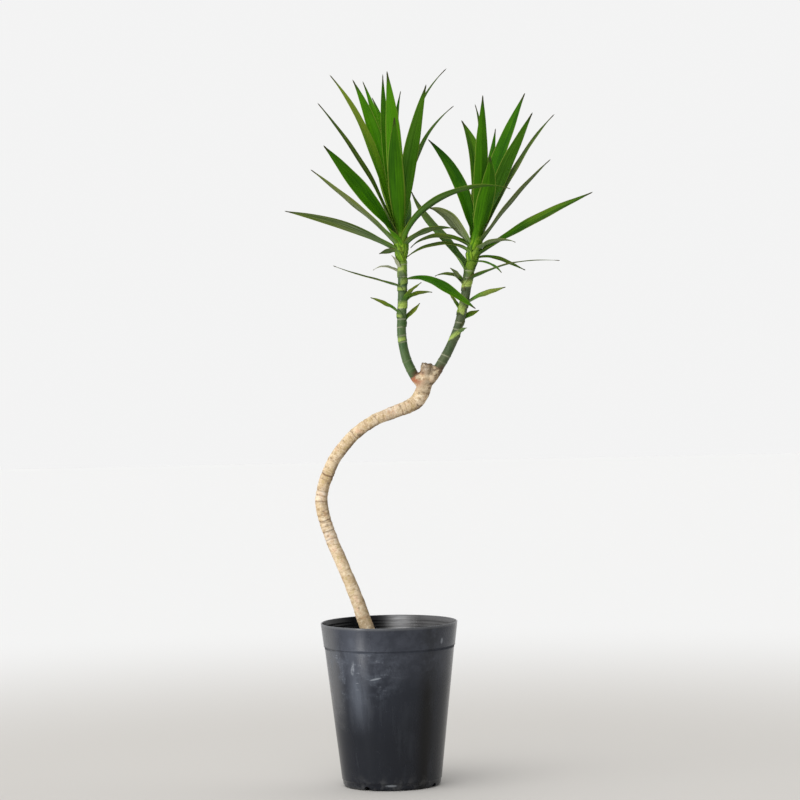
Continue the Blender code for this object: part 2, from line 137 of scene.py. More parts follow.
# Marks on the front of the trunk: rings (x, z, strength), spots (x, z, size, strength) and
# chalky patches (x, z, size)
RING_MARKS = [(-63, 343, 1.0), (-69, 293, 0.8), (-47, 237, 0.2), (-66, 279, 0.6),
              (-65, 270, 0.5), (-71, 325, 0.5), (-70, 314, 0.6)]
SPOT_MARKS = [(-42, 369, 1.6, 0.9), (-28, 386, 2.2, 0.7), (-70, 313, 2.0, 0.9),
              (-67, 308, 2.4, 0.8), (-32.5, 196, 1.0, 0.8), (7, 417, 1.6, 0.9),
              (39, 454.5, 1.5, 1.0), (42.5, 453, 1.4, 0.9), (36.5, 451.5, 1.2, 0.9),
              (38, 431, 1.0, 0.9), (39, 424, 0.9, 0.8), (35, 434, 0.8, 0.8), (43, 446, 1.0, 0.6),
              (-66, 275, 1.2, 0.6), (-6, 404, 1.0, 0.5), (24, 409, 0.9, 0.6)]
CHALK_MARKS = [(-70.5, 320, 8.0), (-65.5, 275, 9.0), (4, 413, 9.0), (47, 460, 5.0)]

# Leaves: height of the base on the stem, tip, lean at the base and at the tip, width, roll,
# then the look: tone from deep to bright green, dry margin, pale and thin, and a share of dark olive
# towards the tip and of painted sheen on the lower face
LEFT_LEAVES = [
    (596, (-53, 42, 782), -14.5, -38, 16, -10, 1.15, 0.05, 0, 0.7),
    (597, (-28, 60, 777), -12, -26, 18, -28, 0.70, 0.1, 0, 0.08),
    (602, (-17, 85, 776), -13.5, -21.5, 13, -10, 0.80, 0, 0, 0),
    (604, (-7, 60, 757), -10, -24, 13, -10, 0.70, 0, 0, 0),
    (606, (5.5, 50, 782), -10, 1, 12, 0, 0.30, 0, 0, 0.1),
    (606, (10, -24, 782), -4, -6, 19.5, 10, 0.90, 0.1, 0, 0),
    (600, (17, -62, 731), -4, 2, 19, 0, 0.35, 0.35, 0, 0),
    (606, (25, 66, 764), -4, 13, 9, 0, 0.20, 0.2, 0, 0.1),
    (602, (52, -42, 766), 4, 16, 18.5, -20, 0.52, 0.1, 0, 0.12),
    (598, (76, 50, 787), 4, 47, 11, -10, 0.05, 0.9, 0, 0.4),
    (597, (83, 32, 745), 2, 52, 13.5, 0, 0.06, 0.7, 0, 0.45),
    (594, (-66, -26, 749), -19, -38.5, 13, -40, 0.10, 0.4, 0, 0.7),
    (592, (-60, -60, 702), -30, -39.5, 20.5, -88, 0.44, 0, 0, 0.05),
    (589, (-75, -24, 677), -41, -50.5, 13.5, 20, 0.30, 0.3, 0, 0.95),
    (583, (-104, -32, 632.5), -53, -78, 10.5, 70, 0.20, 0.2, 0, 0.8),
    (585, (-2.5, -12, 584), -72, -112, 7.5, 55, 0.10, 1.0, 0.1, 0.4),
    (591, (139.5, -88, 651), 8, 109, 12.5, -22, 0.10, 0.2, 0, 0.28),
    (589, (82, -28, 609.5), 36, 101, 13.5, -20, 0.15, 0.3, 0, 0.6),
    (590, (8, 118, 668), -5, -6, 17, 0, 0.40, 0, 0, 0.2),
    (588, (31, 112, 655), 4, 6, 16, 0, 0.50, 0, 0, 0.2),
    (586, (20, 126, 628), 0, 0, 16, 0, 0.35, 0.2, 0, 0.2),
    (594, (-4, 100, 706), -8, -10, 16, 0, 0.50, 0, 0, 0.2),
    (596, (20, 98, 716), 0, 2, 15, 0, 0.45, 0, 0, 0.2),
]
RIGHT_LEAVES = [
    (587, (32, 16, 589.5), -43, -138, 11.5, -28, 0.15, 0.3, 0, 0.8),
    (582, (28, -12, 580), -46, -128, 9, -26, 0.15, 0.5, 0, 0.8),
    (588, (53, 5, 633), -37, -84, 15.5, 62, 0.30, 0.1, 0.1, 1.0),
    (592, (54, 40, 709), -2, -44, 16, -38, 0.20, 0.1, 0, 0.1),
    (596, (92, 70, 730), 12, -28, 20.5, 0, 0.48, 0.05, 0, 0.25),
    (600, (107.6, 80, 748), 2, -15, 8, 0, 0.15, 0.6, 0, 0.3),
    (600, (113.5, -22, 754), 5, 1, 17, 0, 0.40, 0.1, 0, 0),
    (600, (129.3, 62, 720), 10, 8, 11, 0, 0.25, 0.1, 0, 0),
    (600, (162, 45, 758), 10, 25, 18.5, 20, 0.32, 0.1, 0, 0.05),
    (596, (167, -26, 734), 19, 27.5, 18.5, -35, 0.45, 0.1, 0, 0.08),
    (594, (194, 42, 734), 30.5, 44, 16, 0, 0.15, 0.6, 0, 0.7),
    (588, (186, -18, 683), 37.5, 48, 11, -22, 0.12, 0.5, 0.1, 0.8),
    (577, (231, -24, 646.5), 55.5, 66.5, 15, 45, 0.12, 0.4, 0, 0.4),
    (594, (119, -55, 687), 13, -4, 21, 0, 0.42, 0.05, 0, 0),
    (583, (146, -28, 593.5), 48, 116, 11.5, -20, 0.25, 0.3, 0.2, 0.6),
    (576, (157, -6, 563), 70, 114, 8, 32, 0.25, 0.4, 0, 0.6),
    (573, (130, -34, 561), 82, 140, 8, 0, 0.45, 0.2, 0, 0.2),
    (586, (113, 122, 660), 8, 5, 17, 0, 0.40, 0, 0, 0.2),
    (588, (130, 112, 690), 14, 16, 16, 0, 0.50, 0, 0, 0.2),
    (590, (112, 98, 702), 7, 4, 16, 0, 0.45, 0.1, 0, 0.2),
    (594, (143, 95, 714), 18, 22, 15, 0, 0.50, 0, 0, 0.2),
    (582, (118, 126, 634), 10, 10, 16, 0, 0.35, 0.2, 0, 0.2),
]
LEFT_LOW_LEAVES = [
    (554.5, (101, -38, 522.5), 77, 125, 15.5, 30, 0.38, 0.1, 0, 0.15),
    (562, (-9.5, 8, 566), -48, -130, 8, -15, 0.30, 0.2, 0.9, 0.5),
    (564, (11, -6, 582), -25, -45, 9, 0, 0.30, 0.5, 0.8, 0.4),
    (547, (-53, -10, 572), -69, -66, 7, -15, 0.10, 0.5, 0, 0.7),
    (518, (-13, -12, 536.5), -48, -67, 9, -38, 0.80, 0.4, 0, 0.8),
    (531, (43, -14, 552), 26, 52, 11, 0, 0.75, 0.2, 0, 0.8),
    (528, (55, 10, 540.5), 24, 98, 9.5, 25, 0.75, 0.1, 0, 0.8),
    (508, (41, 8, 529), 33, 36, 8.5, 22, 0.85, 0.6, 0, 0.9),
]
RIGHT_LOW_LEAVES = [
    (548, (58, 10, 558), -24, -118, 9, -22, 0.30, 0.4, 0, 0.8),
    (546, (75, 6, 567), -36, -50, 12, -16, 0.40, 0.4, 0.3, 0.7),
    (527, (135, -8, 545), 56, 72, 11, 35, 0.85, 0.1, 0.1, 0.8),
    (508, (106, 10, 520), 40, 66, 9, 32, 1.0, 0.3, 0, 0.7),
    (492, (92, -6, 501), 38, 85, 9, -15, 0.95, 0.2, 0.3, 0),
    (520, (73, 8, 539), -38, -46, 9, 0, 0.75, 0.3, 0, 0.7),
    (553, (193, -45, 573), 60, 95, 9, 0, 0.05, 0.5, 0, 0.6),
    (558, (34.5, 40, 652), -16, -18, 14, -20, 0.65, 0.1, 0.15, 0.45),
]

# Shape of a blade, as in the solids, with a finer section
BLADE_REACH = 0.36
BLADE_START_DEPTH = 0.28
BLADE_END_DEPTH = 0.40
BLADE_BASE_SHARE = 0.62
BLADE_WIDEST = 0.42
BLADE_SWELL_POWER = 1.5
BLADE_TAPER_POWER = 2.1
BLADE_TIP_SHARE = 0.08
BLADE_ROOT_OFFSET = 3.0
BLADE_LEAST_HALF = 0.5
BLADE_POINT = 0.3
BLADE_CURVE_LENGTH = 1.04
EDGE_WAVE = 0.022
MIDDLE_WAVE = 0.020
# Painted light and shade: one half of each blade lighter, the other darker, as across a lit fold
FOLD_PAINTED_LIGHT = 0.13
ROLL_AT_BASE = 0.35
ROLL_GROWTH = 1.3
FOLD_TIP = 12.0
FOLD_BASE = 28.0
KEEL = 0.13
ACROSS = np.array([-1, -0.95, -0.8, -0.58, -0.34, -0.14, 0,
                   0.14, 0.34, 0.58, 0.8, 0.95, 1])
BLADE_STATIONS = 42
SHEATH_STATIONS = 6
SHEATH_WRAP = 100.0

# Yellow-green bands on the canes: height at the middle, half height, azimuth of the middle
# (270 faces the front), half width in degrees, rise towards higher azimuths, strength
LEFT_BANDS = [
    (568, 3.0, 236, 58, 0.5, 0.85), (555, 4.4, 296, 62, 2.2, 0.55),
    (545.8, 2.2, 246, 72, -0.3, 0.65), (528, 4.4, 270, 72, 0.6, 1.0),
    (516.4, 2.0, 222, 52, -1.0, 0.6), (490.8, 2.6, 258, 66, 0.3, 0.75),
]
RIGHT_BANDS = [
    (550.0, 4.2, 262, 105, 0.6, 0.95), (522.8, 5.6, 244, 62, -2.0, 0.95),
    (494.4, 4.2, 262, 74, 6.0, 0.95),
]
# Heights of the scar rings on the canes
LEFT_SCARS = [571.8, 558.5, 547.5, 543, 532.4, 523.4, 512, 503.5, 494.2, 487, 466, 456.5]
RIGHT_SCARS = [563.5, 556, 545.3, 530.4, 518, 507, 499.5, 489, 471, 464]

# Random phases are drawn from 0 to this
ANY_TURN = 6.28

# Half the side of the floor
FLOOR_REACH = 6000


# Small maths

def smooth(value, low, high):
    """Smooth step from 0 at low to 1 at high."""
    t = np.clip((np.asarray(value, dtype=float) - low) / (high - low), 0.0, 1.0)
    return t * t * (3.0 - 2.0 * t)


def bell(value, width):
    """1 where the value is 0, and almost 0 beyond twice the width."""
    return np.exp(-(np.asarray(value, dtype=float) / width) ** 2)


def unit(vectors):
    return vectors / np.linalg.norm(vectors, axis=-1, keepdims=True)


def slant(lean):
    """How far a line that leans from upright goes across and up."""
    angle = math.radians(lean)
    return np.array([math.sin(angle), math.cos(angle)])


def toward(seat, lean, distance):
    x, y, z = seat
    across, up = slant(lean) * distance
    return (x + across, y, z + up)


def rounded(x, z, radius, start, end, count):
    """Points of an arc in a profile, between two angles in degrees."""
    return [(x + radius * math.cos(angle), z + radius * math.sin(angle))
            for angle in np.radians(np.linspace(start, end, count))]


def spline_value(a, b, c, d, t):
    return 0.5 * (2 * b + (c - a) * t + (2 * a - 5 * b + 4 * c - d) * t**2
                  + (3 * b - a - 3 * c + d) * t**3)


def smooth_route(route, step):
    """Route of (x, y, z, radius) rows read again from a smooth curve, about step apart."""
    rows = np.array(route, dtype=float)
    padded = np.vstack([2 * rows[0] - rows[1], rows, 2 * rows[-1] - rows[-2]])
    result = [rows[0]]
    for index in range(len(rows) - 1):
        a, b, c, d = padded[index:index + 4]
        pieces = max(1, round(np.linalg.norm((c - b)[:3]) / step))
        for piece in range(1, pieces + 1):
            result.append(spline_value(a, b, c, d, piece / pieces))
    return np.array(result)


# Objects and meshes

def link(thing):
    bpy.context.scene.collection.objects.link(thing)
    return thing


def number_points(mesh, values):
    """Puts named numbers on the points of a mesh."""
    for name, numbers in values.items():
        layer = mesh.attributes.new(name, "FLOAT", "POINT")
        layer.data.foreach_set("value", np.asarray(numbers, dtype=np.float32))


def make_mesh(name, points, faces, values=None):
    """Object from points in millimetres, with named numbers on its points."""
    mesh = bpy.data.meshes.new(name)
    mesh.from_pydata((np.asarray(points) * MM).tolist(), [], faces)
    number_points(mesh, values or {})
    mesh.shade_smooth()
    return link(bpy.data.objects.new(name, mesh))


def dress(thing, material):
    thing.data.materials.clear()
    thing.data.materials.append(material)


def put_on(thing, material, slot, *nodes):
    """The piece gets its material, rides on the only body and stands for these solids."""
    dress(thing, material)
    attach(thing, "root")
    if nodes:
        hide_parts(*nodes)


def settle(thing):
    """Applies an object's modifiers."""
    bpy.context.view_layer.update()
    mesh = bpy.data.meshes.new_from_object(
        thing.evaluated_get(bpy.context.evaluated_depsgraph_get()))
    thing.modifiers.clear()
    thing.data = mesh


def ring_faces(rings, sides, first=0):
    """Faces of a closed skin over rings of points, with a cap at both ends."""
    faces = []
    for ring in range(rings - 1):
        low = first + ring * sides
        for side in range(sides):
            other = (side + 1) % sides
            faces.append((low + side, low + other, low + sides + other, low + sides + side))
    last = first + (rings - 1) * sides
    faces.append(tuple(first + side for side in reversed(range(sides))))
    faces.append(tuple(last + side for side in range(sides)))
    return faces


def frames_along(rows):
    """Direction and two steady cross directions at each row of a route."""
    along = unit(np.gradient(rows[:, :3], axis=0))
    first = unit(np.cross([0.0, 1.0, 0.0], along[0]))
    sides = []
    for direction in along:
        first = unit(first - np.dot(first, direction) * direction)
        sides.append(first)
    return along, np.array(sides), np.cross(along, sides)


def tube_points(rows, sides, grow=0.0):
    """Rings of points round a route; grow adds to each point's radius."""
    _, right, ahead = frames_along(rows)
    turn = np.linspace(0.0, 2.0 * math.pi, sides, endpoint=False)
    out = (right[:, None, :] * np.cos(turn)[None, :, None]
           + ahead[:, None, :] * np.sin(turn)[None, :, None])
    radius = np.repeat(rows[:, 3][:, None], sides, axis=1) + grow
    return rows[:, None, :3] + out * radius[:, :, None], out


# Nodes of materials

class Signal:
    """Output of a node, which can be added, subtracted and multiplied like a number."""

    def __init__(self, socket):
        self.socket = socket
        self.tree = socket.id_data

    def __add__(self, other):
        return maths("ADD", self, other)

    def __sub__(self, other):
        return maths("SUBTRACT", self, other)

    def __rsub__(self, other):
        return maths("SUBTRACT", other, self)

    def __mul__(self, other):
        return maths("MULTIPLY", self, other)

    def __abs__(self):
        return maths("ABSOLUTE", self)


def node(tree, kind, output, inputs=None, **settings):
    """One output of a new node, whose inputs are numbers, colours or signals."""
    made = tree.nodes.new(kind)
    for key, value in settings.items():
        setattr(made, key, value)
    for key, value in (inputs or {}).items():
        if isinstance(value, Signal):
            tree.links.new(value.socket, made.inputs[key])
        else:
            made.inputs[key].default_value = value
    return Signal(made.outputs[output])


def maths(operation, a, b=0.0):
    tree = a.tree if isinstance(a, Signal) else b.tree
    return node(tree, "ShaderNodeMath", 0, {0: a, 1: b}, operation=operation)


def limited(value):
    """Keeps the result of a sum or product between 0 and 1."""
    value.socket.node.use_clamp = True
    return value


def blend(factor, a, b):
    """Colour a where the factor is 0 and colour b where it is 1."""
    tree = next(value.tree for value in (factor, a, b) if isinstance(value, Signal))
    a, b = (value if isinstance(value, Signal) else (*value, 1.0) for value in (a, b))
    return node(tree, "ShaderNodeMix", 2, {"Factor": factor, 6: a, 7: b}, data_type="RGBA")


def layered(colour, *layers):
    """Lays tints over a colour one after another, each by its share."""
    for share, tint in layers:
        colour = blend(share, colour, tint)
    return colour


def carried(tree, name):
    """Number of this name on the points of the mesh."""
    return node(tree, "ShaderNodeAttribute", "Fac", attribute_name=name)


def grain(place, scale, detail=4.0, roughness=0.55):
    return node(place.tree, "ShaderNodeTexNoise", "Fac", {
        "Vector": place, "Scale": scale, "Detail": detail, "Roughness": roughness})


def span(value, low, high, to_low=0.0, to_high=1.0):
    """Smooth step between two values, from to_low to to_high."""
    return node(value.tree, "ShaderNodeMapRange", "Result", {
        "Value": value, "From Min": low, "From Max": high, "To Min": to_low,
        "To Max": to_high}, interpolation_type="SMOOTHSTEP")


def stripe(value, centre, reach):
    """1 where the value is at the centre, down to 0 at the reach on both sides."""
    return span(abs(value - centre), reach, 0.0)


def vector(*parts):
    return node(parts[0].tree, "ShaderNodeCombineXYZ", 0, dict(enumerate(parts)))


def axes(place):
    """The x, y and z of a place."""
    made = node(place.tree, "ShaderNodeSeparateXYZ", 0, {0: place}).socket.node
    return [Signal(output) for output in made.outputs]


def mapped(place, kind="POINT", **values):
    return node(place.tree, "ShaderNodeMapping", 0, {"Vector": place, **values},
                vector_type=kind)


def measured(operation, place, other=(0.0, 0.0, 0.0)):
    """Length of a vector, or its dot product with another."""
    return node(place.tree, "ShaderNodeVectorMath", "Value", {0: place, 1: other},
                operation=operation)


def new_material(name, specular):
    """New material, its node tree and the place of each point on the object."""
    material = bpy.data.materials.new(name)
    material.use_nodes = True
    tree = material.node_tree
    tree.nodes["Principled BSDF"].inputs["Specular IOR Level"].default_value = specular
    return material, tree, node(tree, "ShaderNodeTexCoord", "Object")


def finished(material, colour, rough, height, distance, strength=1.0):
    """Gives a material its colour, roughness and relief, whose depth is in millimetres."""
    tree = material.node_tree
    normal = node(tree, "ShaderNodeBump", "Normal", {
        "Height": height, "Distance": distance * MM, "Strength": strength})
    sockets = tree.nodes["Principled BSDF"].inputs
    for key, value in (("Base Color", colour), ("Roughness", rough), ("Normal", normal)):
        tree.links.new(value.socket, sockets[key])
    return material


# Materials

def stem_colour(tree, place, green, olive):
    """Skin of a cane, with its yellow-green bands, pale scars and brown foot."""
    cloud = grain(place, 90.0)
    fine = grain(mapped(place, Scale=(1.0, 1.0, 0.25)), 900.0, 2.0)
    young = blend(span(cloud, 0.42, 0.60), (0.040, 0.085, 0.012), (0.150, 0.260, 0.022))
    band = blend(cloud, (0.23, 0.36, 0.045), (0.46, 0.54, 0.15))
    colour = layered(
        blend(span(cloud, 0.3, 0.7), green, olive),
        (span(fine, 0.45, 0.75, 0.0, 0.35), (0.12, 0.17, 0.08)),
        (span(axes(place)[2], 0.551, 0.566) * 0.85, young),
        (carried(tree, "band"), band),
        (carried(tree, "scar"), (0.34, 0.34, 0.22)),
        (carried(tree, "brown"), (0.085, 0.045, 0.024)))
    return colour, cloud, fine


def leaf_material(name, green, olive):
    material, tree, place = new_material(name, 0.035)
    along, across, under, seed, tone, olive_and_sheen, held = (
        carried(tree, key) for key in ("along", "across", "under", "seed", "tone", "olive_and_sheen", "held"))
    streaks = grain(vector(across * 7.0, along * 2.2, seed * 40.0), 1.6, 3.0)
    strands = grain(vector(across * 4.0, along * 6.0, seed * 90.0), 1.0, 2.0)
    patches = grain(place, 28.0, 2.0)
    veins = maths("SINE", across * 46.0)
    bright = limited(tone + (streaks - 0.5) * 1.7 + (patches - 0.5) * 0.8)
    upper = blend(bright, (0.010, 0.072, 0.0015), (0.068, 0.245, 0.002))
    upper = blend((veins + 1.0) * 0.04, upper, (0.10, 0.30, 0.015))
    lower = blend(0.14, upper, (0.070, 0.115, 0.012))
    dark_olive = blend(bright, (0.040, 0.066, 0.010), (0.250, 0.290, 0.030))
    olive_share = olive_and_sheen * span(along - tone * (1.0 - olive_and_sheen), 0.0, 0.45, 0.10, 0.95)
    upper = blend(olive_share, upper, dark_olive)
    # Painted sheen: pale grey-green streaks on the lower face, strongest near the base
    sheen = span(abs(across), 1.0, 0.45, 0.35, 1.0) * span(streaks, 0.40, 0.60, 0.10, 1.0)
    sheen = sheen * span(along, 0.95, 0.35, 0.35, 1.0) * span(tone, 0.4, 1.1, 1.0, 0.15)
    silver = blend(streaks, (0.070, 0.100, 0.045), (0.230, 0.265, 0.165))
    lower = layered(lower, (olive_share, dark_olive), (olive_and_sheen * sheen, silver))
    stem, cloud, _ = stem_colour(tree, place, green, olive)
    heart = carried(tree, "heart") * span(cloud, 0.25, 0.6, 0.35, 1.0)
    heart_colour = blend(span(strands, 0.36, 0.64), (0.060, 0.180, 0.006), (0.290, 0.470, 0.030))
    edge = span(abs(across), 0.86, 0.99)
    dry = carried(tree, "dry") * span(patches, 0.38, 0.62)
    dry_edge = span(abs(across), 0.70, 1.0) * dry
    colour = layered(
        blend(under, upper, lower),
        (carried(tree, "stem"), stem),
        (heart, heart_colour),
        (limited(edge * (0.55 - held)), (0.30, 0.40, 0.06)),
        (edge * held * 0.55, (0.030, 0.090, 0.010)),
        (dry_edge, (0.13, 0.055, 0.016)),
        (span(along + streaks * 0.03, 0.92, 1.0) * 0.90, (0.048, 0.038, 0.018)),
        (carried(tree, "pale") * span(held, 1.0, 0.2, 0.2, 0.85), (0.42, 0.41, 0.31)))
    rough = streaks * 0.25 + 0.24 + under * 0.20
    return finished(material, colour, rough, veins * 0.5 + streaks, 0.10, 0.7)


def cane_material(name, green, olive):
    material, tree, place = new_material(name, 0.22)
    colour, cloud, fine = stem_colour(tree, place, green, olive)
    rough = span(fine, 0.2, 0.8, 0.32, 0.55)
    return finished(material, colour, rough, cloud + fine * 0.4, 0.25, 0.6)


def bark_material():
    material, tree, place = new_material("trunk_bark", 0.2)
    arc, turn_x, turn_y = (carried(tree, key) for key in ("arc", "turn_x", "turn_y"))
    rings = grain(vector(arc * 0.30, turn_x * 0.16, turn_y * 0.16), 1.0, 5.0, 0.62)
    cracks = grain(vector(arc * 0.85, turn_x * 0.26, turn_y * 0.26), 1.0, 3.0, 0.6)
    cloud = grain(place, 55.0, 5.0, 0.6)
    speck = grain(place, 620.0, 3.0)
    patch = grain(place, 190.0, 3.0, 0.6)
    blush = grain(mapped(place, Location=(3.1, 1.7, 0.4)), 130.0, 2.0)
    aged = span(axes(place)[2], 0.235, 0.275, 0.35, 1.0)
    chalk = blend(span(patch, 0.44, 0.56), (0.66, 0.57, 0.47), (0.48, 0.32, 0.21))
    colour = layered(
        blend(span(cloud, 0.32, 0.68), (0.51, 0.375, 0.215), (0.73, 0.585, 0.405)),
        (span(patch, 0.54, 0.68, 0.0, 0.60), (0.45, 0.35, 0.135)),
        (span(patch, 0.46, 0.34, 0.0, 0.65), (0.80, 0.69, 0.50)),
        (span(blush, 0.55, 0.70, 0.0, 0.45), (0.68, 0.42, 0.28)),
        (span(rings, 0.52, 0.64, 0.0, 0.65), (0.37, 0.245, 0.120)),
        (aged * span(cracks, 0.56, 0.66, 0.0, 0.65), (0.28, 0.175, 0.075)),
        (span(cracks, 0.42, 0.32, 0.0, 0.45), (0.82, 0.73, 0.55)),
        (span(speck, 0.58, 0.72, 0.0, 0.55), (0.24, 0.15, 0.065)),
        (carried(tree, "grey"), (0.30, 0.25, 0.165)),
        (carried(tree, "shade"), (0.150, 0.090, 0.038)),
        (carried(tree, "chalk") * span(rings, 0.38, 0.55, 1.0, 0.3), chalk),
        (carried(tree, "red"), (0.38, 0.13, 0.060)),
        (carried(tree, "scar"), (0.15, 0.080, 0.040)),
        (carried(tree, "brown"), (0.095, 0.052, 0.030)))
    rough = span(rings, 0.3, 0.7, 0.85, 0.55)
    return finished(material, colour, rough, cloud * 0.5 - rings - speck * 0.25, 0.7, 0.8)


def pot_material():
    """Black plastic with dust, scuffs and four scratches, and painted light: a faint upright
    highlight stripe and a dark reflection stripe, lighter top and edges, a darker foot, a lit lip,
    and a lit and shaded inside.
    """
    material, tree, place = new_material("nursery_plastic", 0.28)
    x, y, z = axes(place)
    turn = maths("ARCTAN2", x, y * -1.0)
    cloud = grain(place, 22.0, 5.0, 0.62)
    smudge = grain(place, 75.0, 6.0, 0.7)
    runs = grain(mapped(place, Scale=(1.0, 1.0, 0.10)), 95.0, 5.0, 0.6)
    lines = grain(mapped(place, Scale=(0.06, 0.06, 1.0)), 420.0, 3.0, 0.6)
    fleck = grain(mapped(place, Rotation=(0.0, -0.18, 0.0), Scale=(0.22, 0.22, 1.4)),
                  420.0, 3.0, 0.65)
    # Painted highlight: a soft lighter upright stripe on the front left of the pot
    painted_highlight = stripe(turn, -0.56, 0.29) * span(z, 0.055, 0.115) * span(runs, 0.30, 0.60, 0.45, 1.0)
    # Dust, and a painted reflection: the upper part of the pot lighter and blotchy
    dust_and_reflection_above = span(z, 0.104, 0.146) * span(smudge, 0.36, 0.62, 0.45, 0.9)
    # Painted reflection: lighter grey towards the left and right edges, fading out low down
    sides = maths("MAXIMUM", span(turn, -0.76, -1.10) * span(turn, -2.00, -1.45),
                  span(turn, 1.15, 1.45) * span(turn, 2.20, 1.55))
    sides = sides * span(z + smudge * 0.06, 0.085, 0.140)
    # Painted light and shade inside: near black on the left, lit grey ridges and a glint on the right
    ridges = blend(lines, (0.050, 0.050, 0.052), (0.150, 0.150, 0.152))
    glint = stripe(x, 0.013, 0.020) * span(lines, 0.35, 0.60, 0.5, 1.0)
    inner_light_and_shade = blend(glint, blend(span(x, -0.014, 0.008), (0.003, 0.003, 0.004), ridges),
                       (0.420, 0.425, 0.435))
    # Scuffs and a painted sheen: a lighter blue-grey patch on the upper front left
    stain_and_sheen = span(y, 0.02, -0.035) * span(x, 0.030, -0.020)
    stain_and_sheen = stain_and_sheen * (span(z, 0.085, 0.120) * span(z, 0.160, 0.148))
    marks = span(fleck, 0.58, 0.72) * span(smudge, 0.50, 0.60)
    dust = span(runs, 0.46, 0.72) * span(cloud, 0.35, 0.7)
    colour = layered(
        blend(cloud, (0.008, 0.011, 0.018), (0.017, 0.020, 0.029)),
        # Painted shade: darker towards the foot, standing for a dark reflection from below
        (span(z, 0.115, 0.045, 0.0, 0.55), (0.004, 0.005, 0.008)),
        # Painted reflection: a near black upright stripe on the front right, where a dark reflection
        # falls
        (stripe(turn, 0.67, 0.26) * 0.9, (0.001, 0.001, 0.001)),
        # Painted highlight stripe
        (painted_highlight * 0.8, (0.105, 0.118, 0.145)),
        # Dust and painted reflection on the upper part
        (dust_and_reflection_above, (0.044, 0.049, 0.064)),
        # Painted reflection on the edges
        (sides * 0.85, (0.085, 0.087, 0.092)),
        # Painted highlight along the lip of the rim
        (span(z, 0.1765, 0.1788) * 0.8, (0.095, 0.098, 0.105)),
        # Painted light and shade on the inside wall
        (carried(tree, "inside"), inner_light_and_shade),
        # Scuffs and painted sheen
        (stain_and_sheen * span(smudge, 0.42, 0.68) * 0.50, (0.080, 0.092, 0.115)),
        (marks * (stain_and_sheen + 0.04), (0.185, 0.200, 0.230)),
        (dust * 0.22, (0.050, 0.056, 0.068)))
    for at, reach, tilt, even in POT_SCRATCHES:
        local = mapped(place, "TEXTURE", Location=[MM * part for part in at],
                       Rotation=(0.0, math.radians(tilt), 0.0), Scale=[MM * part for part in reach])
        shown = span(measured("LENGTH", local), 1.0, 0.5) * span(smudge, 0.40, 0.56, even, 1.0)
        colour = blend(shown * 0.65, colour, (0.26, 0.28, 0.31))
    soiled = span(z, 0.022, 0.002) * span(smudge, 0.45, 0.65)
    colour = blend(soiled * 0.35, colour, (0.12, 0.12, 0.12))
    groove = span(abs(z - 0.1534), 0.0020, 0.0010)
    rough = limited(dust * 0.14 + 0.19 + smudge * 0.12 + groove * 0.6)
    return finished(material, colour, rough, lines * 0.6 + smudge, 0.12, 0.5)


def soil_material():
    material, _, place = new_material("potting_soil", 0.15)
    lumps = grain(place, 160.0, 6.0, 0.7)
    bits = grain(place, 520.0, 3.0, 0.6)
    colour = blend(span(lumps, 0.3, 0.7), (0.012, 0.008, 0.005), (0.060, 0.036, 0.021))
    colour = blend(span(bits, 0.58, 0.72, 0.0, 0.7), colour, (0.17, 0.11, 0.065))
    return finished(material, colour, span(lumps, 0.2, 0.8, 0.95, 0.75), lumps + bits * 0.5, 1.2)


def crumb_material():
    """Bark in shades of brown, and a few pieces of white grit."""
    material, tree, place = new_material("bark_crumbs", 0.15)
    bits = grain(place, 300.0, 4.0, 0.6)
    shade = carried(tree, "shade")
    colour = layered(
        blend(shade, (0.018, 0.011, 0.007), (0.145, 0.085, 0.048)),
        (span(shade, 0.93, 0.97), (0.62, 0.60, 0.55)),
        (span(bits, 0.4, 0.7, 0.0, 0.4), (0.03, 0.018, 0.010)))
    return finished(material, colour, span(bits, 0.2, 0.8, 0.95, 0.7), bits, 0.5, 0.8)


# Leaves

def stem_row(stem, height):
    """Centre and radius of a stem at a height."""
    return np.stack([np.interp(height, stem[:, 2], stem[:, column]) for column in (0, 1, 3)], -1)


def midrib(base, tip, start, end, share):
    """Places and directions on the curve of a blade, which leaves and ends at given leans."""
    chord = tip - base
    reach = BLADE_REACH * math.hypot(chord[0], chord[2])
    rise, fall = slant(start), slant(end)
    after = base + np.array([reach * rise[0], BLADE_START_DEPTH * chord[1], reach * rise[1]])
    before = tip - np.array([reach * fall[0], BLADE_END_DEPTH * chord[1], reach * fall[1]])
    t = share[:, None]
    rest = 1.0 - t
    place = base * rest**3 + 3 * after * t * rest**2 + 3 * before * t**2 * rest + tip * t**3
    along = (3 * (after - base) * rest**2 + 6 * (before - after) * t * rest
             + 3 * (tip - before) * t**2)
    return place, unit(along)


def half_width(width, share):
    rise = np.sin(0.5 * math.pi * np.minimum(share / BLADE_WIDEST, 1.0)) ** BLADE_SWELL_POWER
    swell = BLADE_BASE_SHARE + (1.0 - BLADE_BASE_SHARE) * rise
    beyond = np.maximum(0.0, (share - BLADE_WIDEST) / (1.0 - BLADE_WIDEST))
    taper = np.maximum(1.0 - beyond ** BLADE_TAPER_POWER, BLADE_TIP_SHARE)
    half = np.maximum(0.5 * width * swell * taper, BLADE_LEAST_HALF)
    half[-1] *= BLADE_POINT
    return half


def half_thickness(share):
    """Thicker along the keel and near the base, and even at the tip."""
    t = share[:, None]
    thick = (0.11 + 0.17 * (1.0 - ACROSS**2)) * (1.0 + 0.6 * (1.0 - t) ** 4)
    thick = thick * (1.0 - 0.55 * t**3)
    thick = np.maximum(thick, 0.38 * smooth(share, 0.92, 0.98)[:, None])
    thick[-1] *= BLADE_POINT
    return thick


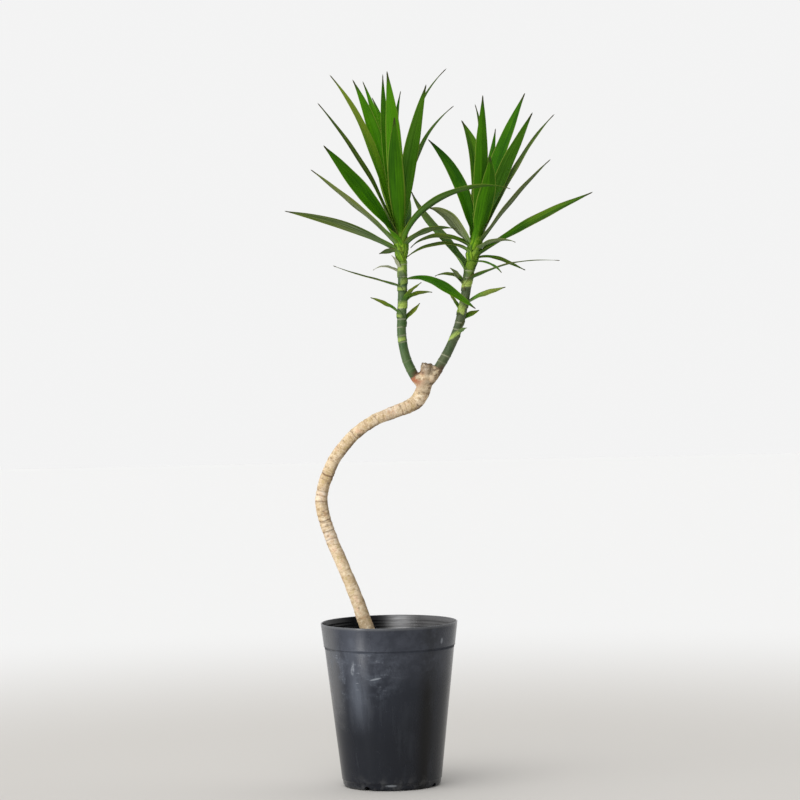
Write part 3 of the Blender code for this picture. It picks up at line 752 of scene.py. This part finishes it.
def blade_surface(base, tip, start, end, width, roll, share, rng):
    """Middle surface of a free blade and its normals: rolled, folded and gently waved."""
    place, along = midrib(base, tip, start, end, share)
    chord = tip - base
    level = np.array([-chord[1], chord[0], 0.0]) / math.hypot(chord[0], chord[1])
    side = unit(level - (along @ level)[:, None] * along)
    face = np.cross(along, side)
    turn = np.radians(roll) * np.minimum(1.0, ROLL_AT_BASE + ROLL_GROWTH * share)
    cos, sin = np.cos(turn)[:, None], np.sin(turn)[:, None]
    side, face = side * cos + face * sin, face * cos - side * sin
    fold = np.radians(FOLD_TIP + FOLD_BASE * (1.0 - share) ** 3)[:, None]
    keel = np.sqrt(ACROSS**2 + KEEL**2)
    half = half_width(width, share)[:, None]
    out = half * ACROSS * np.cos(fold)
    up = half * np.sin(fold) * (keel - KEEL)
    phase = rng.uniform(0.0, 2.0 * math.pi, 3)
    wave = width * np.sin(math.pi * share)
    left = EDGE_WAVE * wave * np.sin(7.0 * share * math.pi + phase[0])
    right = EDGE_WAVE * wave * np.sin(6.0 * share * math.pi + phase[1])
    up = up + np.where(ACROSS < 0, left[:, None], right[:, None]) * ACROSS**2
    bow = MIDDLE_WAVE * wave * np.sin(9.0 * share + phase[2])
    place = place + face * bow[:, None]
    tilt = (fold * ACROSS / keel)[:, :, None]
    side, face = side[:, None, :], face[:, None, :]
    middle = place[:, None, :] + side * out[:, :, None] + face * up[:, :, None]
    return middle, face * np.cos(tilt) - side * np.sin(tilt)


def band_values(bands, height, azimuth, waver):
    """Strength of the yellow-green bands at places on a cane."""
    band = np.zeros_like(height)
    for middle, half, centre, reach, rise, strength in bands:
        away = (azimuth - centre + 180.0) % 360.0 - 180.0
        level = height - (middle + rise * np.radians(away) + waver)
        inside = smooth(level, -1.05 * half, -0.85 * half)
        inside = inside * (1.0 - smooth(level, -0.2 * half, 1.3 * half))
        inside = inside * (1.0 - smooth(np.abs(away), reach * 0.75, reach))
        band = np.maximum(band, strength * inside)
    return band


def azimuth_of(directions):
    """Degrees round the upright axis, from 0 to 360."""
    return np.degrees(np.arctan2(directions[..., 1], directions[..., 0])) % 360.0


def both_faces(values):
    """Values across the upper face, then back across the lower one."""
    return np.concatenate([values, values[..., ::-1]], -1)


def leaf_points(stem, row, sheath, layer, bands, rng):
    """Rings of points of one leaf from its sheath round the stem to its tip."""
    height, tip, start, end, width, roll, tone, dry, pale, olive_and_sheen = row
    tip = np.array(tip, dtype=float)
    centre = stem_row(stem, height)
    centre = np.array([centre[0], centre[1], height])
    azimuth = math.atan2(tip[1] - centre[1], tip[0] - centre[0])
    base = centre + BLADE_ROOT_OFFSET * np.array([math.cos(azimuth), math.sin(azimuth), 0.0])
    even = np.linspace(0.0, 1.0, BLADE_STATIONS)
    share = 0.5 * even + 0.25 * (1.0 - np.cos(math.pi * even))
    length = BLADE_CURVE_LENGTH * np.linalg.norm(tip - base)
    run = np.concatenate([np.linspace(-sheath, 0.0, SHEATH_STATIONS, endpoint=False),
                          share * length])
    share = np.maximum(run, 0.0) / length
    middle, normal = blade_surface(base, tip, start, end, width, roll, share, rng)

    reach = min(0.10 * length + 2.0, 13.0) * (1.0 + 1.3 * np.abs(ACROSS) ** 1.5)
    free = smooth(run[:, None] / reach, 0.0, 1.0)[:, :, None]
    level = height + np.where(run < 0.0, run, run * max(slant(start)[1], 0.25))
    around = stem_row(stem, level)
    wraps = np.interp(run, [-sheath, 0.0, reach.max()],
                      [SHEATH_WRAP, 0.72 * SHEATH_WRAP, 0.40 * SHEATH_WRAP])
    facing = azimuth + np.radians(wraps)[:, None] * ACROSS
    radial = np.stack([np.cos(facing), np.sin(facing), np.zeros_like(facing)], -1)
    radius = around[:, 2] + 0.28 + layer * (0.15 + 0.85 * smooth(run, -sheath, 0.0))
    hug = np.concatenate([around[:, :2], level[:, None]], 1)
    hug = hug[:, None, :] + radial * radius[:, None, None]
    middle = hug * (1.0 - free) + middle * free
    normal = unit(-radial * (1.0 - free) + normal * free)
    thick = normal * half_thickness(share)[:, :, None]
    ring = np.concatenate([middle + thick, (middle - thick)[:, ::-1]], 1)

    fresh = smooth(level, 572.0, 579.0) * (0.0 if bands else 1.0)
    heart = 0.85 * fresh * np.exp(-np.maximum(run, 0.0) / (5.0 + 0.03 * length))
    held = both_faces(1.0 - free[:, :, 0])
    level = np.repeat(level[:, None], len(ACROSS), 1)
    band = both_faces(band_values(bands, level, azimuth_of(radial), 0.0))
    across = both_faces(ACROSS)
    seed = rng.uniform(0.0, 1.0)
    # One half of the blade painted lighter and the other darker
    fold_painted_light = FOLD_PAINTED_LIGHT if seed > 0.5 else -FOLD_PAINTED_LIGHT
    values = {"along": share[:, None], "across": across, "heart": heart[:, None], "held": held,
              "under": np.repeat([0.0, 1.0], len(ACROSS)), "band": band,
              "stem": held * (1.0 - 0.85 * fresh[:, None]),
              "tone": tone + fold_painted_light * np.sign(across),
              "olive_and_sheen": olive_and_sheen, "dry": dry, "pale": pale, "seed": seed}
    return ring, {key: np.broadcast_to(value, ring.shape[:2]).ravel()
                  for key, value in values.items()}


def make_leaves(name, stem, rows, sheath, layer_step, bands, seed):
    """All the leaves of one stem as one mesh; lower sheaths lie outside higher ones."""
    rng = np.random.default_rng(seed)
    order = np.argsort([-row[0] for row in rows])
    layers = np.empty(len(rows))
    layers[order] = layer_step * np.arange(len(rows))
    leaves = [leaf_points(stem, row, sheath, layer, bands, rng) for row, layer in zip(rows, layers)]
    rings, sides = leaves[0][0].shape[:2]
    faces = []
    for place in range(len(leaves)):
        faces += ring_faces(rings, sides, place * rings * sides)
    points = np.concatenate([ring.reshape(-1, 3) for ring, _ in leaves])
    values = {key: np.concatenate([values[key] for _, values in leaves]) for key in leaves[0][1]}
    return make_mesh(name, points, faces, values)


# Canes and crown cores

def cane_rows(seat, lean, route):
    """Cane that rises out of its collar, with its route read close together."""
    start = toward(seat, lean, -1.5) + (SEAT_RADIUS - 0.1,)
    above = toward(seat, lean, GAP + SEAT_STRAIGHT) + (SEAT_RADIUS - 0.1,)
    return smooth_route([start, above] + route, 0.8)


def make_cane(name, rows, bands, scars, seed):
    _, out = tube_points(rows, CANE_SIDES)
    azimuth = azimuth_of(out)
    turn = np.radians(azimuth)
    height = np.repeat(rows[:, 2][:, None], CANE_SIDES, axis=1)
    rng = np.random.default_rng(seed)
    waver = np.zeros_like(height)
    for wave in range(1, 4):
        waver += 0.35 / wave * np.sin(turn * wave + rng.uniform(0, ANY_TURN))
    band = band_values(bands, height, azimuth, 0.4 * waver)
    ridge = 0.18 * band
    scar = np.zeros_like(height)
    for level in scars:
        line = bell(height - level - waver, 0.5)
        share = 0.35 + 0.65 * smooth(np.sin(turn + rng.uniform(0, ANY_TURN)), -0.6, 0.5)
        scar = np.maximum(scar, 0.75 * share * line)
        ridge += 0.32 * bell(height - level - waver - 0.7, 1.0) - 0.22 * line
    ridge += 0.10 * np.sin(height * 0.31 + rng.uniform(0, ANY_TURN)) * np.sin(turn * 2)
    points, _ = tube_points(rows, CANE_SIDES, ridge)
    brown = 0.9 * (1.0 - smooth(height - rows[0, 2], 2.0, 7.0)) * smooth(waver, -0.5, 0.4)
    return make_mesh(name, points.reshape(-1, 3), ring_faces(len(rows), CANE_SIDES),
                     {"band": band.ravel(), "scar": scar.ravel(), "brown": brown.ravel()})


def core_rows(cane, route):
    """Slim heart of a crown, from inside the end of its cane."""
    rows = smooth_route([tuple(cane[-4])] + route, 1.5)
    low = rows[0, 2]
    rows[:, 3] *= np.interp(rows[:, 2], [low, low + 8.0, low + 24.0], [0.95, 0.74, 0.90])
    return rows


def make_core(name, rows):
    points, _ = tube_points(rows, CORE_SIDES)
    low = rows[0, 2]
    heart = np.interp(rows[:, 2], [low + 12, low + 45], [1.0, 0.0])
    return make_mesh(name, points.reshape(-1, 3), ring_faces(len(rows), CORE_SIDES),
                     {"heart": np.repeat(heart, CORE_SIDES),
                      "tone": np.full(len(rows) * CORE_SIDES, 0.8)})


# Trunk

def arc_lengths(rows):
    steps = np.linalg.norm(np.diff(rows[:, :3], axis=0), axis=1)
    return np.concatenate([[0.0], np.cumsum(steps)])


def nearest_on_route(points, rows):
    """Arc length, and direction in the frame of the route, of the nearest place on it."""
    tree = KDTree(len(rows))
    for index, row in enumerate(rows):
        tree.insert(row[:3], index)
    tree.balance()
    index = np.array([tree.find(point)[1] for point in points])
    along, right, ahead = frames_along(rows)
    away = points - rows[index, :3]
    shift = np.einsum("ij,ij->i", away, along[index])
    away = away - shift[:, None] * along[index]
    away /= np.maximum(np.linalg.norm(away, axis=1), 1e-6)[:, None]
    turn_x = np.einsum("ij,ij->i", away, right[index])
    turn_y = np.einsum("ij,ij->i", away, ahead[index])
    return arc_lengths(rows)[index] + shift, turn_x, turn_y


def melted_trunk(rows):
    """Skins of the bent cane and the two collars, melted into one."""
    routes = [rows]
    for collar, seat, lean in ((LEFT_COLLAR, LEFT_SEAT, LEFT_SEAT_LEAN),
                               (RIGHT_COLLAR, RIGHT_SEAT, RIGHT_SEAT_LEAN)):
        below = toward(seat, lean, -SEAT_STRAIGHT) + (SEAT_RADIUS + 0.5,)
        lip = toward(seat, lean, -0.2) + (SEAT_RADIUS + 0.7,)
        routes.append(smooth_route(collar + [below, lip], TRUNK_STEP))
    points = np.empty((0, 3))
    faces = []
    for route in routes:
        faces += ring_faces(len(route), TRUNK_SIDES, len(points))
        points = np.vstack([points, tube_points(route, TRUNK_SIDES)[0].reshape(-1, 3)])
    trunk = make_mesh("trunk_bark_skin", points, faces)
    melt = trunk.modifiers.new("melt", "REMESH")
    melt.mode = "VOXEL"
    melt.voxel_size = TRUNK_VOXEL * MM
    melt.use_smooth_shade = True
    ease = trunk.modifiers.new("ease", "SMOOTH")
    ease.factor = 0.5
    ease.iterations = 4
    settle(trunk)
    return trunk


def leaf_scars(arc, angle, rows, rng):
    """Rings of leaf scars round the trunk: how far they lift the bark, and how dark they are."""
    lift = np.zeros_like(arc)
    scar = np.zeros_like(arc)
    spot = SCARS_START
    while spot < arc.max() - SCARS_END:
        upper = smooth(spot, 190.0, 260.0)
        strength = rng.uniform(0.35, 1.0) * (0.35 + 0.65 * upper)
        waver = sum(rng.uniform(0.2, 0.9) / n * np.sin(n * angle + rng.uniform(0, ANY_TURN))
                    for n in (1, 2, 3, 5))
        away = arc - spot - waver
        shown = 0.25 + 0.75 * smooth(np.sin(angle + rng.uniform(0, ANY_TURN)), -0.7, 0.5)
        groove = bell(away, rng.uniform(0.45, 0.8))
        lift += strength * (0.26 * bell(away - 1.5, 1.3) - 0.32 * shown * groove)
        scar = np.maximum(scar, strength * shown * groove * rng.uniform(0.35, 0.95))
        spot += rng.uniform(4.5, 10.0) if upper > 0.5 else rng.uniform(9.0, 17.0)
    for x, z, strength in RING_MARKS:
        at = arc_lengths(rows)[np.argmin(np.hypot(rows[:, 0] - x, rows[:, 2] - z))]
        away = arc - at - 0.5 * np.sin(angle + x) - 0.3 * np.sin(3.0 * angle + z)
        groove = bell(away, 0.8)
        lift += strength * (0.35 * bell(away - 1.6, 1.2) - 0.5 * groove)
        scar = np.maximum(scar, 0.95 * strength * groove)
    return lift, scar


def noise_at(places, scale, offset=(0, 0, 0)):
    return np.array([noise.noise(Vector(place) * scale + Vector(offset)) for place in places])


def make_trunk(seed):
    """Bent cane, sawn stub and two collars, carved with leaf scars."""
    rows = smooth_route(TRUNK_ROUTE, TRUNK_STEP)
    trunk = melted_trunk(rows)
    mesh = trunk.data
    flat = np.empty(len(mesh.vertices) * 3)
    mesh.vertices.foreach_get("co", flat)
    places = flat.reshape(-1, 3) / MM
    mesh.vertices.foreach_get("normal", flat)
    normals = flat.reshape(-1, 3).copy()
    arc, turn_x, turn_y = nearest_on_route(places, rows)
    angle = np.arctan2(turn_y, turn_x)
    total = arc.max()
    rng = np.random.default_rng(seed)

    def around(centre, stretch, size):
        return bell(np.linalg.norm((places - centre) * stretch, axis=1), size)

    def upright(low, high):
        return smooth(places[:, 2], low, high)

    lift, scar = leaf_scars(arc, angle, rows, rng)
    chalk = np.max([around([x, -5.0, z], [1.0, 0.6, 1.0], size) for x, z, size in CHALK_MARKS], 0)
    brown = np.zeros_like(arc)
    for x, z, size, strength in SPOT_MARKS:
        mark = strength * around([x, -7.0, z], [1.0, 0.4, 1.0], size)
        brown = np.maximum(brown, mark)
        lift -= 0.3 * mark
    for _ in range(SPECK_COUNT):
        at = rng.uniform(200.0, total - 14.0)
        side = rng.uniform(-math.pi, math.pi)
        size = rng.uniform(0.5, 1.5)
        turned = (angle - side + math.pi) % (2.0 * math.pi) - math.pi
        mark = bell(arc - at, size * 0.8) * bell(turned * 7.0, size * 1.3)
        brown = np.maximum(brown, rng.uniform(0.5, 1.0) * mark)
        lift -= 0.25 * mark

    rough = noise_at(places, 0.11)
    fine = noise_at(places, 0.55)
    crag = noise_at(places, 0.42, (9, 4, 2))
    lift += 0.45 * rough + 0.12 * fine
    stub = upright(455.0, 461.0) * smooth(12.0 - np.abs(places[:, 0] - 47.0), 3.0, 6.0)
    lift += stub * (1.1 * crag + 0.5 * fine)
    brown = np.maximum(brown, stub * smooth(crag, 0.0, 0.35) * 0.8)
    rim = upright(459.5, 462.5) * smooth(9.0 - np.abs(places[:, 0] - 47.6), 0.0, 2.0)
    brown = np.maximum(brown, 0.85 * rim * smooth(fine + 0.5 * crag, -0.45, 0.1))
    dent = 1.8 * rim * bell(places[:, 0] - 47.8 - 0.3 * places[:, 1], 1.5)
    seam = bell(arc - (total - 14.5) - 1.5 * np.sin(3 * angle + 1.0), 0.9) * upright(446, 450)
    lift -= 0.5 * seam
    brown = np.maximum(brown, 0.8 * seam * smooth(rough, -0.2, 0.2))

    left_patch = around(np.add(LEFT_SEAT, (1.8, -4.0, -3.0)), [1.0, 0.55, 1.0], 8.2)
    right_patch = around(np.add(RIGHT_SEAT, (-1.0, -4.0, -3.0)), [1.0, 0.55, 1.0], 9.5)
    red = np.clip(1.1 * left_patch * smooth(rough + 0.4 * fine, -0.4, 0.15), 0, 1)
    brown = np.maximum(brown, 0.9 * right_patch * smooth(fine + 0.5 * rough, -0.35, 0.1))
    for seat, lean in ((LEFT_SEAT, LEFT_SEAT_LEAN), (RIGHT_SEAT, RIGHT_SEAT_LEAN)):
        across, up = slant(lean)
        rung = bell((places - seat) @ [across, 0.0, up] + 0.9, 0.9)
        close = np.minimum(1.0, 2.0 * around(seat, 1.0, 9.0))
        brown = np.maximum(brown, 0.8 * rung * close)
    grey = 0.8 * upright(424.0, 446.0) * smooth(rough, -0.4, 0.3)
    under = np.maximum(smooth(normals @ [0.70, 0.0, -0.70], 0.35, 0.95),
                       0.8 * smooth(normals @ [1.0, 0.0, -0.1], 0.50, 1.0))
    shade = 0.9 * under * smooth(rough + 0.6 * fine, -0.5, 0.25)
    places = places + normals * lift[:, None]
    places[:, 2] -= dent
    mesh.vertices.foreach_set("co", (places * MM).ravel())
    number_points(mesh, {"arc": arc, "turn_x": turn_x * 7.0, "turn_y": turn_y * 7.0,
                         "scar": scar, "brown": brown, "red": red, "grey": grey,
                         "shade": shade, "chalk": chalk})
    mesh.shade_smooth()
    mesh.update()
    put_on(trunk, bark_material(), "trunk_bark", "trunk")


# Pot

def outer_radius(height):
    taper = (POT_RIM_RADIUS - POT_BAND_PROUD - POT_FOOT_RADIUS) / POT_HEIGHT
    return POT_FOOT_RADIUS + taper * height


def inner_radius(height):
    return outer_radius(height) - POT_WALL


def pot_profile():
    """From the middle of the floor, up the ribbed inside, over the rim and down."""
    inner_corner = inner_radius(POT_FLOOR + POT_CORNER) - POT_CORNER
    profile = [(0.0, POT_FLOOR), (25.0, POT_FLOOR), (inner_radius(POT_FLOOR) - POT_CORNER, POT_FLOOR)]
    profile += rounded(inner_corner, POT_FLOOR + POT_CORNER, POT_CORNER, -90, 0, 5)[1:]
    inside = [(height, 0.0) for height in (40.0, 80.0, 120.0, 150.0)]
    for ridge in range(RIDGE_COUNT):
        start = RIDGE_START + RIDGE_STEP * ridge
        inside += [(start, 0.0), (start + 0.5, 0.14), (start + 1.0, 0.14), (start + 1.5, 0.0)]
    for height, proud in inside:
        profile.append((inner_radius(height) + POT_BAND_PROUD * height / POT_HEIGHT - proud, height))
    lip = 0.5 * POT_WALL
    profile += rounded(POT_RIM_RADIUS - lip, POT_HEIGHT - lip, lip, 180, 0, 7)
    band = POT_HEIGHT - POT_BAND_HEIGHT
    proud = outer_radius(band) + POT_BAND_PROUD
    foot = outer_radius(POT_FOOT_HEIGHT)
    profile += [
        (POT_RIM_RADIUS - 0.25, POT_HEIGHT - 2.6),
        (proud + 0.06, band + 1.1),
        (proud + 0.10, band + 0.7),
        (proud, band + 0.2),
        (proud - 0.3, band - 0.05),
        (outer_radius(band - 0.4) + 0.05, band - 0.35),
        (outer_radius(band - 0.9) - 0.12, band - 0.9),
        (outer_radius(band - 1.6), band - 1.6),
        (outer_radius(110.0), 110.0),
        (outer_radius(60.0), 60.0),
        (outer_radius(POT_FOOT_HEIGHT + 1.0), POT_FOOT_HEIGHT + 1.0),
        (foot + 0.12, POT_FOOT_HEIGHT + 0.4),
        (foot - 0.2, POT_FOOT_HEIGHT - 0.1),
        (foot - POT_FOOT_STEP, POT_FOOT_HEIGHT - 0.5),
    ]
    corner = outer_radius(POT_CORNER) - POT_FOOT_STEP - POT_CORNER
    return profile + rounded(corner, POT_CORNER, POT_CORNER, 0, -90, 7) + [(30.0, 0.0), (0.0, 0.0)]


def turned_mesh(name, profile, sides):
    """Closed solid of revolution from a profile that starts and ends on the axis."""
    turn = np.linspace(0.0, 2.0 * math.pi, sides, endpoint=False)
    inner = profile[1:-1]
    points = [(0.0, 0.0, profile[0][1])]
    for radius, height in inner:
        points += [(radius * math.cos(t), radius * math.sin(t), height) for t in turn]
    points.append((0.0, 0.0, profile[-1][1]))
    faces = []
    end = len(points) - 1
    last = 1 + (len(inner) - 1) * sides
    for side in range(sides):
        other = (side + 1) % sides
        faces.append((0, 1 + side, 1 + other))
        faces.append((end, last + other, last + side))
    for low in range(1, last, sides):
        for side in range(sides):
            other = (side + 1) % sides
            faces.append((low + side, low + sides + side, low + sides + other, low + other))
    return make_mesh(name, points, faces)


def cut_notches(pot):
    """Cuts round drain notches across the bottom corner."""
    cutters = []
    for count in range(NOTCH_COUNT):
        angle = math.radians(NOTCH_FIRST_ANGLE + 360.0 / NOTCH_COUNT * count)
        mesh = bpy.data.meshes.new("notch")
        shape = bmesh.new()
        bmesh.ops.create_cone(shape, cap_ends=True, segments=NOTCH_SIDES, depth=NOTCH_LENGTH * MM,
                              radius1=NOTCH_RADIUS * MM, radius2=NOTCH_RADIUS * MM)
        shape.to_mesh(mesh)
        shape.free()
        cutter = link(bpy.data.objects.new("notch", mesh))
        cutter.rotation_euler = (0.0, 0.5 * math.pi, angle)
        cutter.location = (POT_FOOT_RADIUS * MM * math.cos(angle),
                           POT_FOOT_RADIUS * MM * math.sin(angle), 0.0)
        tool = pot.modifiers.new("notch", "BOOLEAN")
        tool.operation = "DIFFERENCE"
        tool.object = cutter
        tool.solver = "EXACT"
        cutters.append(cutter)
    settle(pot)
    for cutter in cutters:
        bpy.data.objects.remove(cutter, do_unlink=True)


def make_pot():
    pot = turned_mesh("pot_shell", pot_profile(), POT_SIDES)
    cut_notches(pot)
    shape = bmesh.new()
    shape.from_mesh(pot.data)
    inside = shape.verts.layers.float.new("inside")
    for vert in shape.verts:
        radius = vert.co.xy.length / MM
        height = vert.co.z / MM
        vert[inside] = float(outer_radius(height) - radius > INSIDE_DEPTH and height > 20.0)
        if radius > 20.0:
            turn = math.atan2(vert.co.y, vert.co.x)
            swell = 0.22 * math.sin(2 * turn + 0.7) + 0.13 * math.sin(3 * turn + 2.0)
            swell *= float(smooth(height, 20.0, POT_HEIGHT))
            vert.co += Vector((math.cos(turn), math.sin(turn), 0.0)) * swell * MM
    shape.to_mesh(pot.data)
    shape.free()
    pot.data.shade_smooth()
    pot.data.set_sharp_from_angle(angle=math.radians(42))
    put_on(pot, pot_material(), "black_plastic", "pot")


# Soil

def soil_height(radius):
    return SOIL_TOP + SOIL_MOUND * np.interp(radius / inner_radius(SOIL_TOP),
                                             [0.0, 0.4, 0.8, 1.0], [1.0, 0.8, 0.2, 0.0])


def bumps(place):
    return 1.5 * noise.noise(place * 0.16) + 1.1 * noise.noise(place * 0.42)


def make_soil(seed):
    """Lumpy soil that fills the pot, and crumbs of bark and grit on it."""
    top = inner_radius(SOIL_TOP) - GAP
    low = POT_FLOOR + GAP
    profile = [(0.0, SOIL_TOP + SOIL_MOUND)]
    profile += [(radius, float(soil_height(radius))) for radius in np.linspace(1.2, top, SOIL_RINGS)]
    profile += [(inner_radius(120.0) - GAP, 120.0), (inner_radius(low + 5.0) - GAP, low + 5.0),
                (inner_radius(low) - 6.0, low), (0.0, low)]
    soil = turned_mesh("soil_bed", profile[::-1], SOIL_SIDES)
    for vert in soil.data.vertices:
        place = vert.co / MM
        if place.z > SOIL_TOP - 2.0:
            edge = smooth(math.hypot(place.x, place.y), top, top - 4.0)
            lump = bumps(place) + 0.7 * noise.noise(place * 0.9)
            vert.co.z += float(edge) * lump * MM
    put_on(soil, soil_material(), "potting_soil", "soil")
    make_crumbs(top, np.random.default_rng(seed))


def make_crumbs(top, rng):
    """Loose crumbs on the soil, clear of the pot's wall and the trunk."""
    pattern = bmesh.new()
    bmesh.ops.create_icosphere(pattern, subdivisions=1, radius=1.0)
    ball = np.array([vert.co for vert in pattern.verts])
    ball_faces = [[vert.index for vert in face.verts] for face in pattern.faces]
    pattern.free()
    points, faces, shades = [], [], []
    while len(points) < CRUMB_COUNT * len(ball):
        x, y = rng.uniform(-top, top, 2)
        size = rng.uniform(0.6, 1.5) ** 2 * 0.95
        if math.hypot(x, y) > top - size - 0.8 or math.hypot(x - TRUNK_AT_SOIL, y) < TRUNK_CLEARANCE:
            continue
        stretch = size * rng.uniform(0.55, 1.25, 3)
        crumb = ball * stretch * (1.0 + 0.22 * rng.standard_normal((len(ball), 1)))
        a, b, c = rng.uniform(0.0, 2.0 * math.pi, 3)
        spin = (Matrix.Rotation(a, 3, "Z") @ Matrix.Rotation(b, 3, "X")
                @ Matrix.Rotation(c, 3, "Z"))
        height = float(soil_height(math.hypot(x, y)))
        height += bumps(Vector((x, y, height)))
        crumb = crumb @ np.array(spin).T + [x, y, height + 0.25 * size]
        faces += [tuple(len(points) + index for index in face) for face in ball_faces]
        points += crumb.tolist()
        shades += [rng.uniform(0.0, 1.0)] * len(ball)
    crumbs = make_mesh("soil_crumbs", points, faces, {"shade": shades})
    crumbs.data.shade_flat()
    put_on(crumbs, crumb_material(), "potting_soil")


# Plant

def make_shoot(side, seat, lean, cane_route, core_route, low_leaves, leaves, bands, scars,
               green, olive, seed):
    """Cane with its small leaves, and a crown of leaves round a slim heart."""
    cane_look = cane_material(side + "_cane_skin", green, olive)
    leaf_look = leaf_material(side + "_leaves", green, olive)
    cane = cane_rows(seat, lean, cane_route)
    core = core_rows(cane, core_route)
    stem = smooth_route([tuple(row) for row in cane[::6]] + core_route, 1.0)
    slim = stem.copy()
    slim[:, 3] = np.interp(slim[:, 2], core[:, 2], core[:, 3])
    skin = make_cane(side + "_cane_skin", cane, bands, scars, seed)
    put_on(skin, cane_look, "green_cane", side + "_cane")
    small = make_leaves(side + "_cane_leaves", stem, low_leaves, 4.5, 0.05, bands, seed + 1)
    put_on(small, leaf_look, "green_cane", side + "_cane")
    heart = make_core(side + "_crown_heart", core)
    put_on(heart, leaf_look, "green_leaf", side + "_crown")
    crown = make_leaves(side + "_crown_leaves", slim, leaves, 8.0, 0.10, [], seed + 2)
    put_on(crown, leaf_look, "green_leaf", side + "_crown")


# Studio

def make_floor():
    corners = [(-1, -1, 0), (1, -1, 0), (1, 1, 0), (-1, 1, 0)]
    floor = make_mesh("floor", FLOOR_REACH * np.array(corners), [(0, 1, 2, 3)])
    material, tree, place = new_material("pale_floor", 0.1)
    colour = blend(span(measured("LENGTH", place), 0.45, 1.7), (0.62, 0.60, 0.57), (0.855, 0.855, 0.85))
    sockets = tree.nodes["Principled BSDF"].inputs
    sockets["Roughness"].default_value = 0.8
    tree.links.new(colour.socket, sockets["Base Color"])
    dress(floor, material)
    return floor


def make_sky():
    """Even pale light from behind, and a soft window at the front left."""
    world = bpy.data.worlds.new("studio")
    world.use_nodes = True
    tree = world.node_tree
    place = node(tree, "ShaderNodeTexCoord", "Generated")
    behind = span(axes(place)[1], -0.35, 0.1)
    window = span(measured("DOT_PRODUCT", place, (-0.80, -0.50, 0.33)), -0.2, 0.95, 0.10, 1.35)
    light = behind * 0.9 + (1.0 - behind) * window
    sockets = tree.nodes["Background"].inputs
    sockets["Color"].default_value = (1.0, 1.0, 1.0, 1.0)
    tree.links.new(light.socket, sockets["Strength"])
    bpy.context.scene.world = world


def make_lights(floor):
    """Soft sun, and a narrow strip at the front left that doesn't light the floor."""
    sun = bpy.data.lights.new("soft_sun", "SUN")
    sun.energy = 0.68
    sun.angle = math.radians(50)
    sun_object = link(bpy.data.objects.new("soft_sun", sun))
    sun_object.rotation_euler = (math.radians(30), 0.0, math.radians(-35))

    strip = bpy.data.lights.new("strip", "AREA")
    strip.shape = "RECTANGLE"
    strip.size = 0.14
    strip.size_y = 0.7
    strip.energy = 0.56
    strip.spread = math.radians(80)
    strip_object = link(bpy.data.objects.new("strip", strip))
    strip_object.visible_camera = False
    strip_object.location = (-0.49, -0.44, 0.35)
    aim = Vector((0.0, 0.0, 0.30)) - strip_object.location
    strip_object.rotation_euler = aim.to_track_quat("-Z", "Y").to_euler()
    unlit = bpy.data.collections.new("unlit_by_strip")
    unlit.objects.link(floor)
    unlit.collection_objects[0].light_linking.link_state = "EXCLUDE"
    strip_object.light_linking.receiver_collection = unlit


def make_camera():
    camera = bpy.data.cameras.new("camera")
    camera.sensor_width = CAMERA_SENSOR
    camera.lens = CAMERA_LENS
    camera.clip_end = 50.0
    view = link(bpy.data.objects.new("camera", camera))
    view.matrix_world = (Matrix.Translation(CAMERA_PLACE)
                         @ Matrix.Rotation(math.radians(-CAMERA_YAW), 4, "Z")
                         @ Matrix.Rotation(math.radians(90.0 - CAMERA_PITCH), 4, "X")
                         @ Matrix.Rotation(math.radians(CAMERA_ROLL), 4, "Z"))
    bpy.context.scene.camera = view
    bpy.context.scene.view_settings.view_transform = "Standard"


make_sky()
make_lights(make_floor())
make_camera()
make_pot()
make_soil(5)
make_trunk(11)
make_shoot("left", LEFT_SEAT, LEFT_SEAT_LEAN, LEFT_CANE_ROUTE, LEFT_CORE_ROUTE, LEFT_LOW_LEAVES,
           LEFT_LEAVES, LEFT_BANDS, LEFT_SCARS, (0.038, 0.088, 0.025), (0.076, 0.126, 0.040), 20)
make_shoot("right", RIGHT_SEAT, RIGHT_SEAT_LEAN, RIGHT_CANE_ROUTE, RIGHT_CORE_ROUTE,
           RIGHT_LOW_LEAVES, RIGHT_LEAVES, RIGHT_BANDS, RIGHT_SCARS,
           (0.044, 0.074, 0.026), (0.086, 0.104, 0.048), 30)
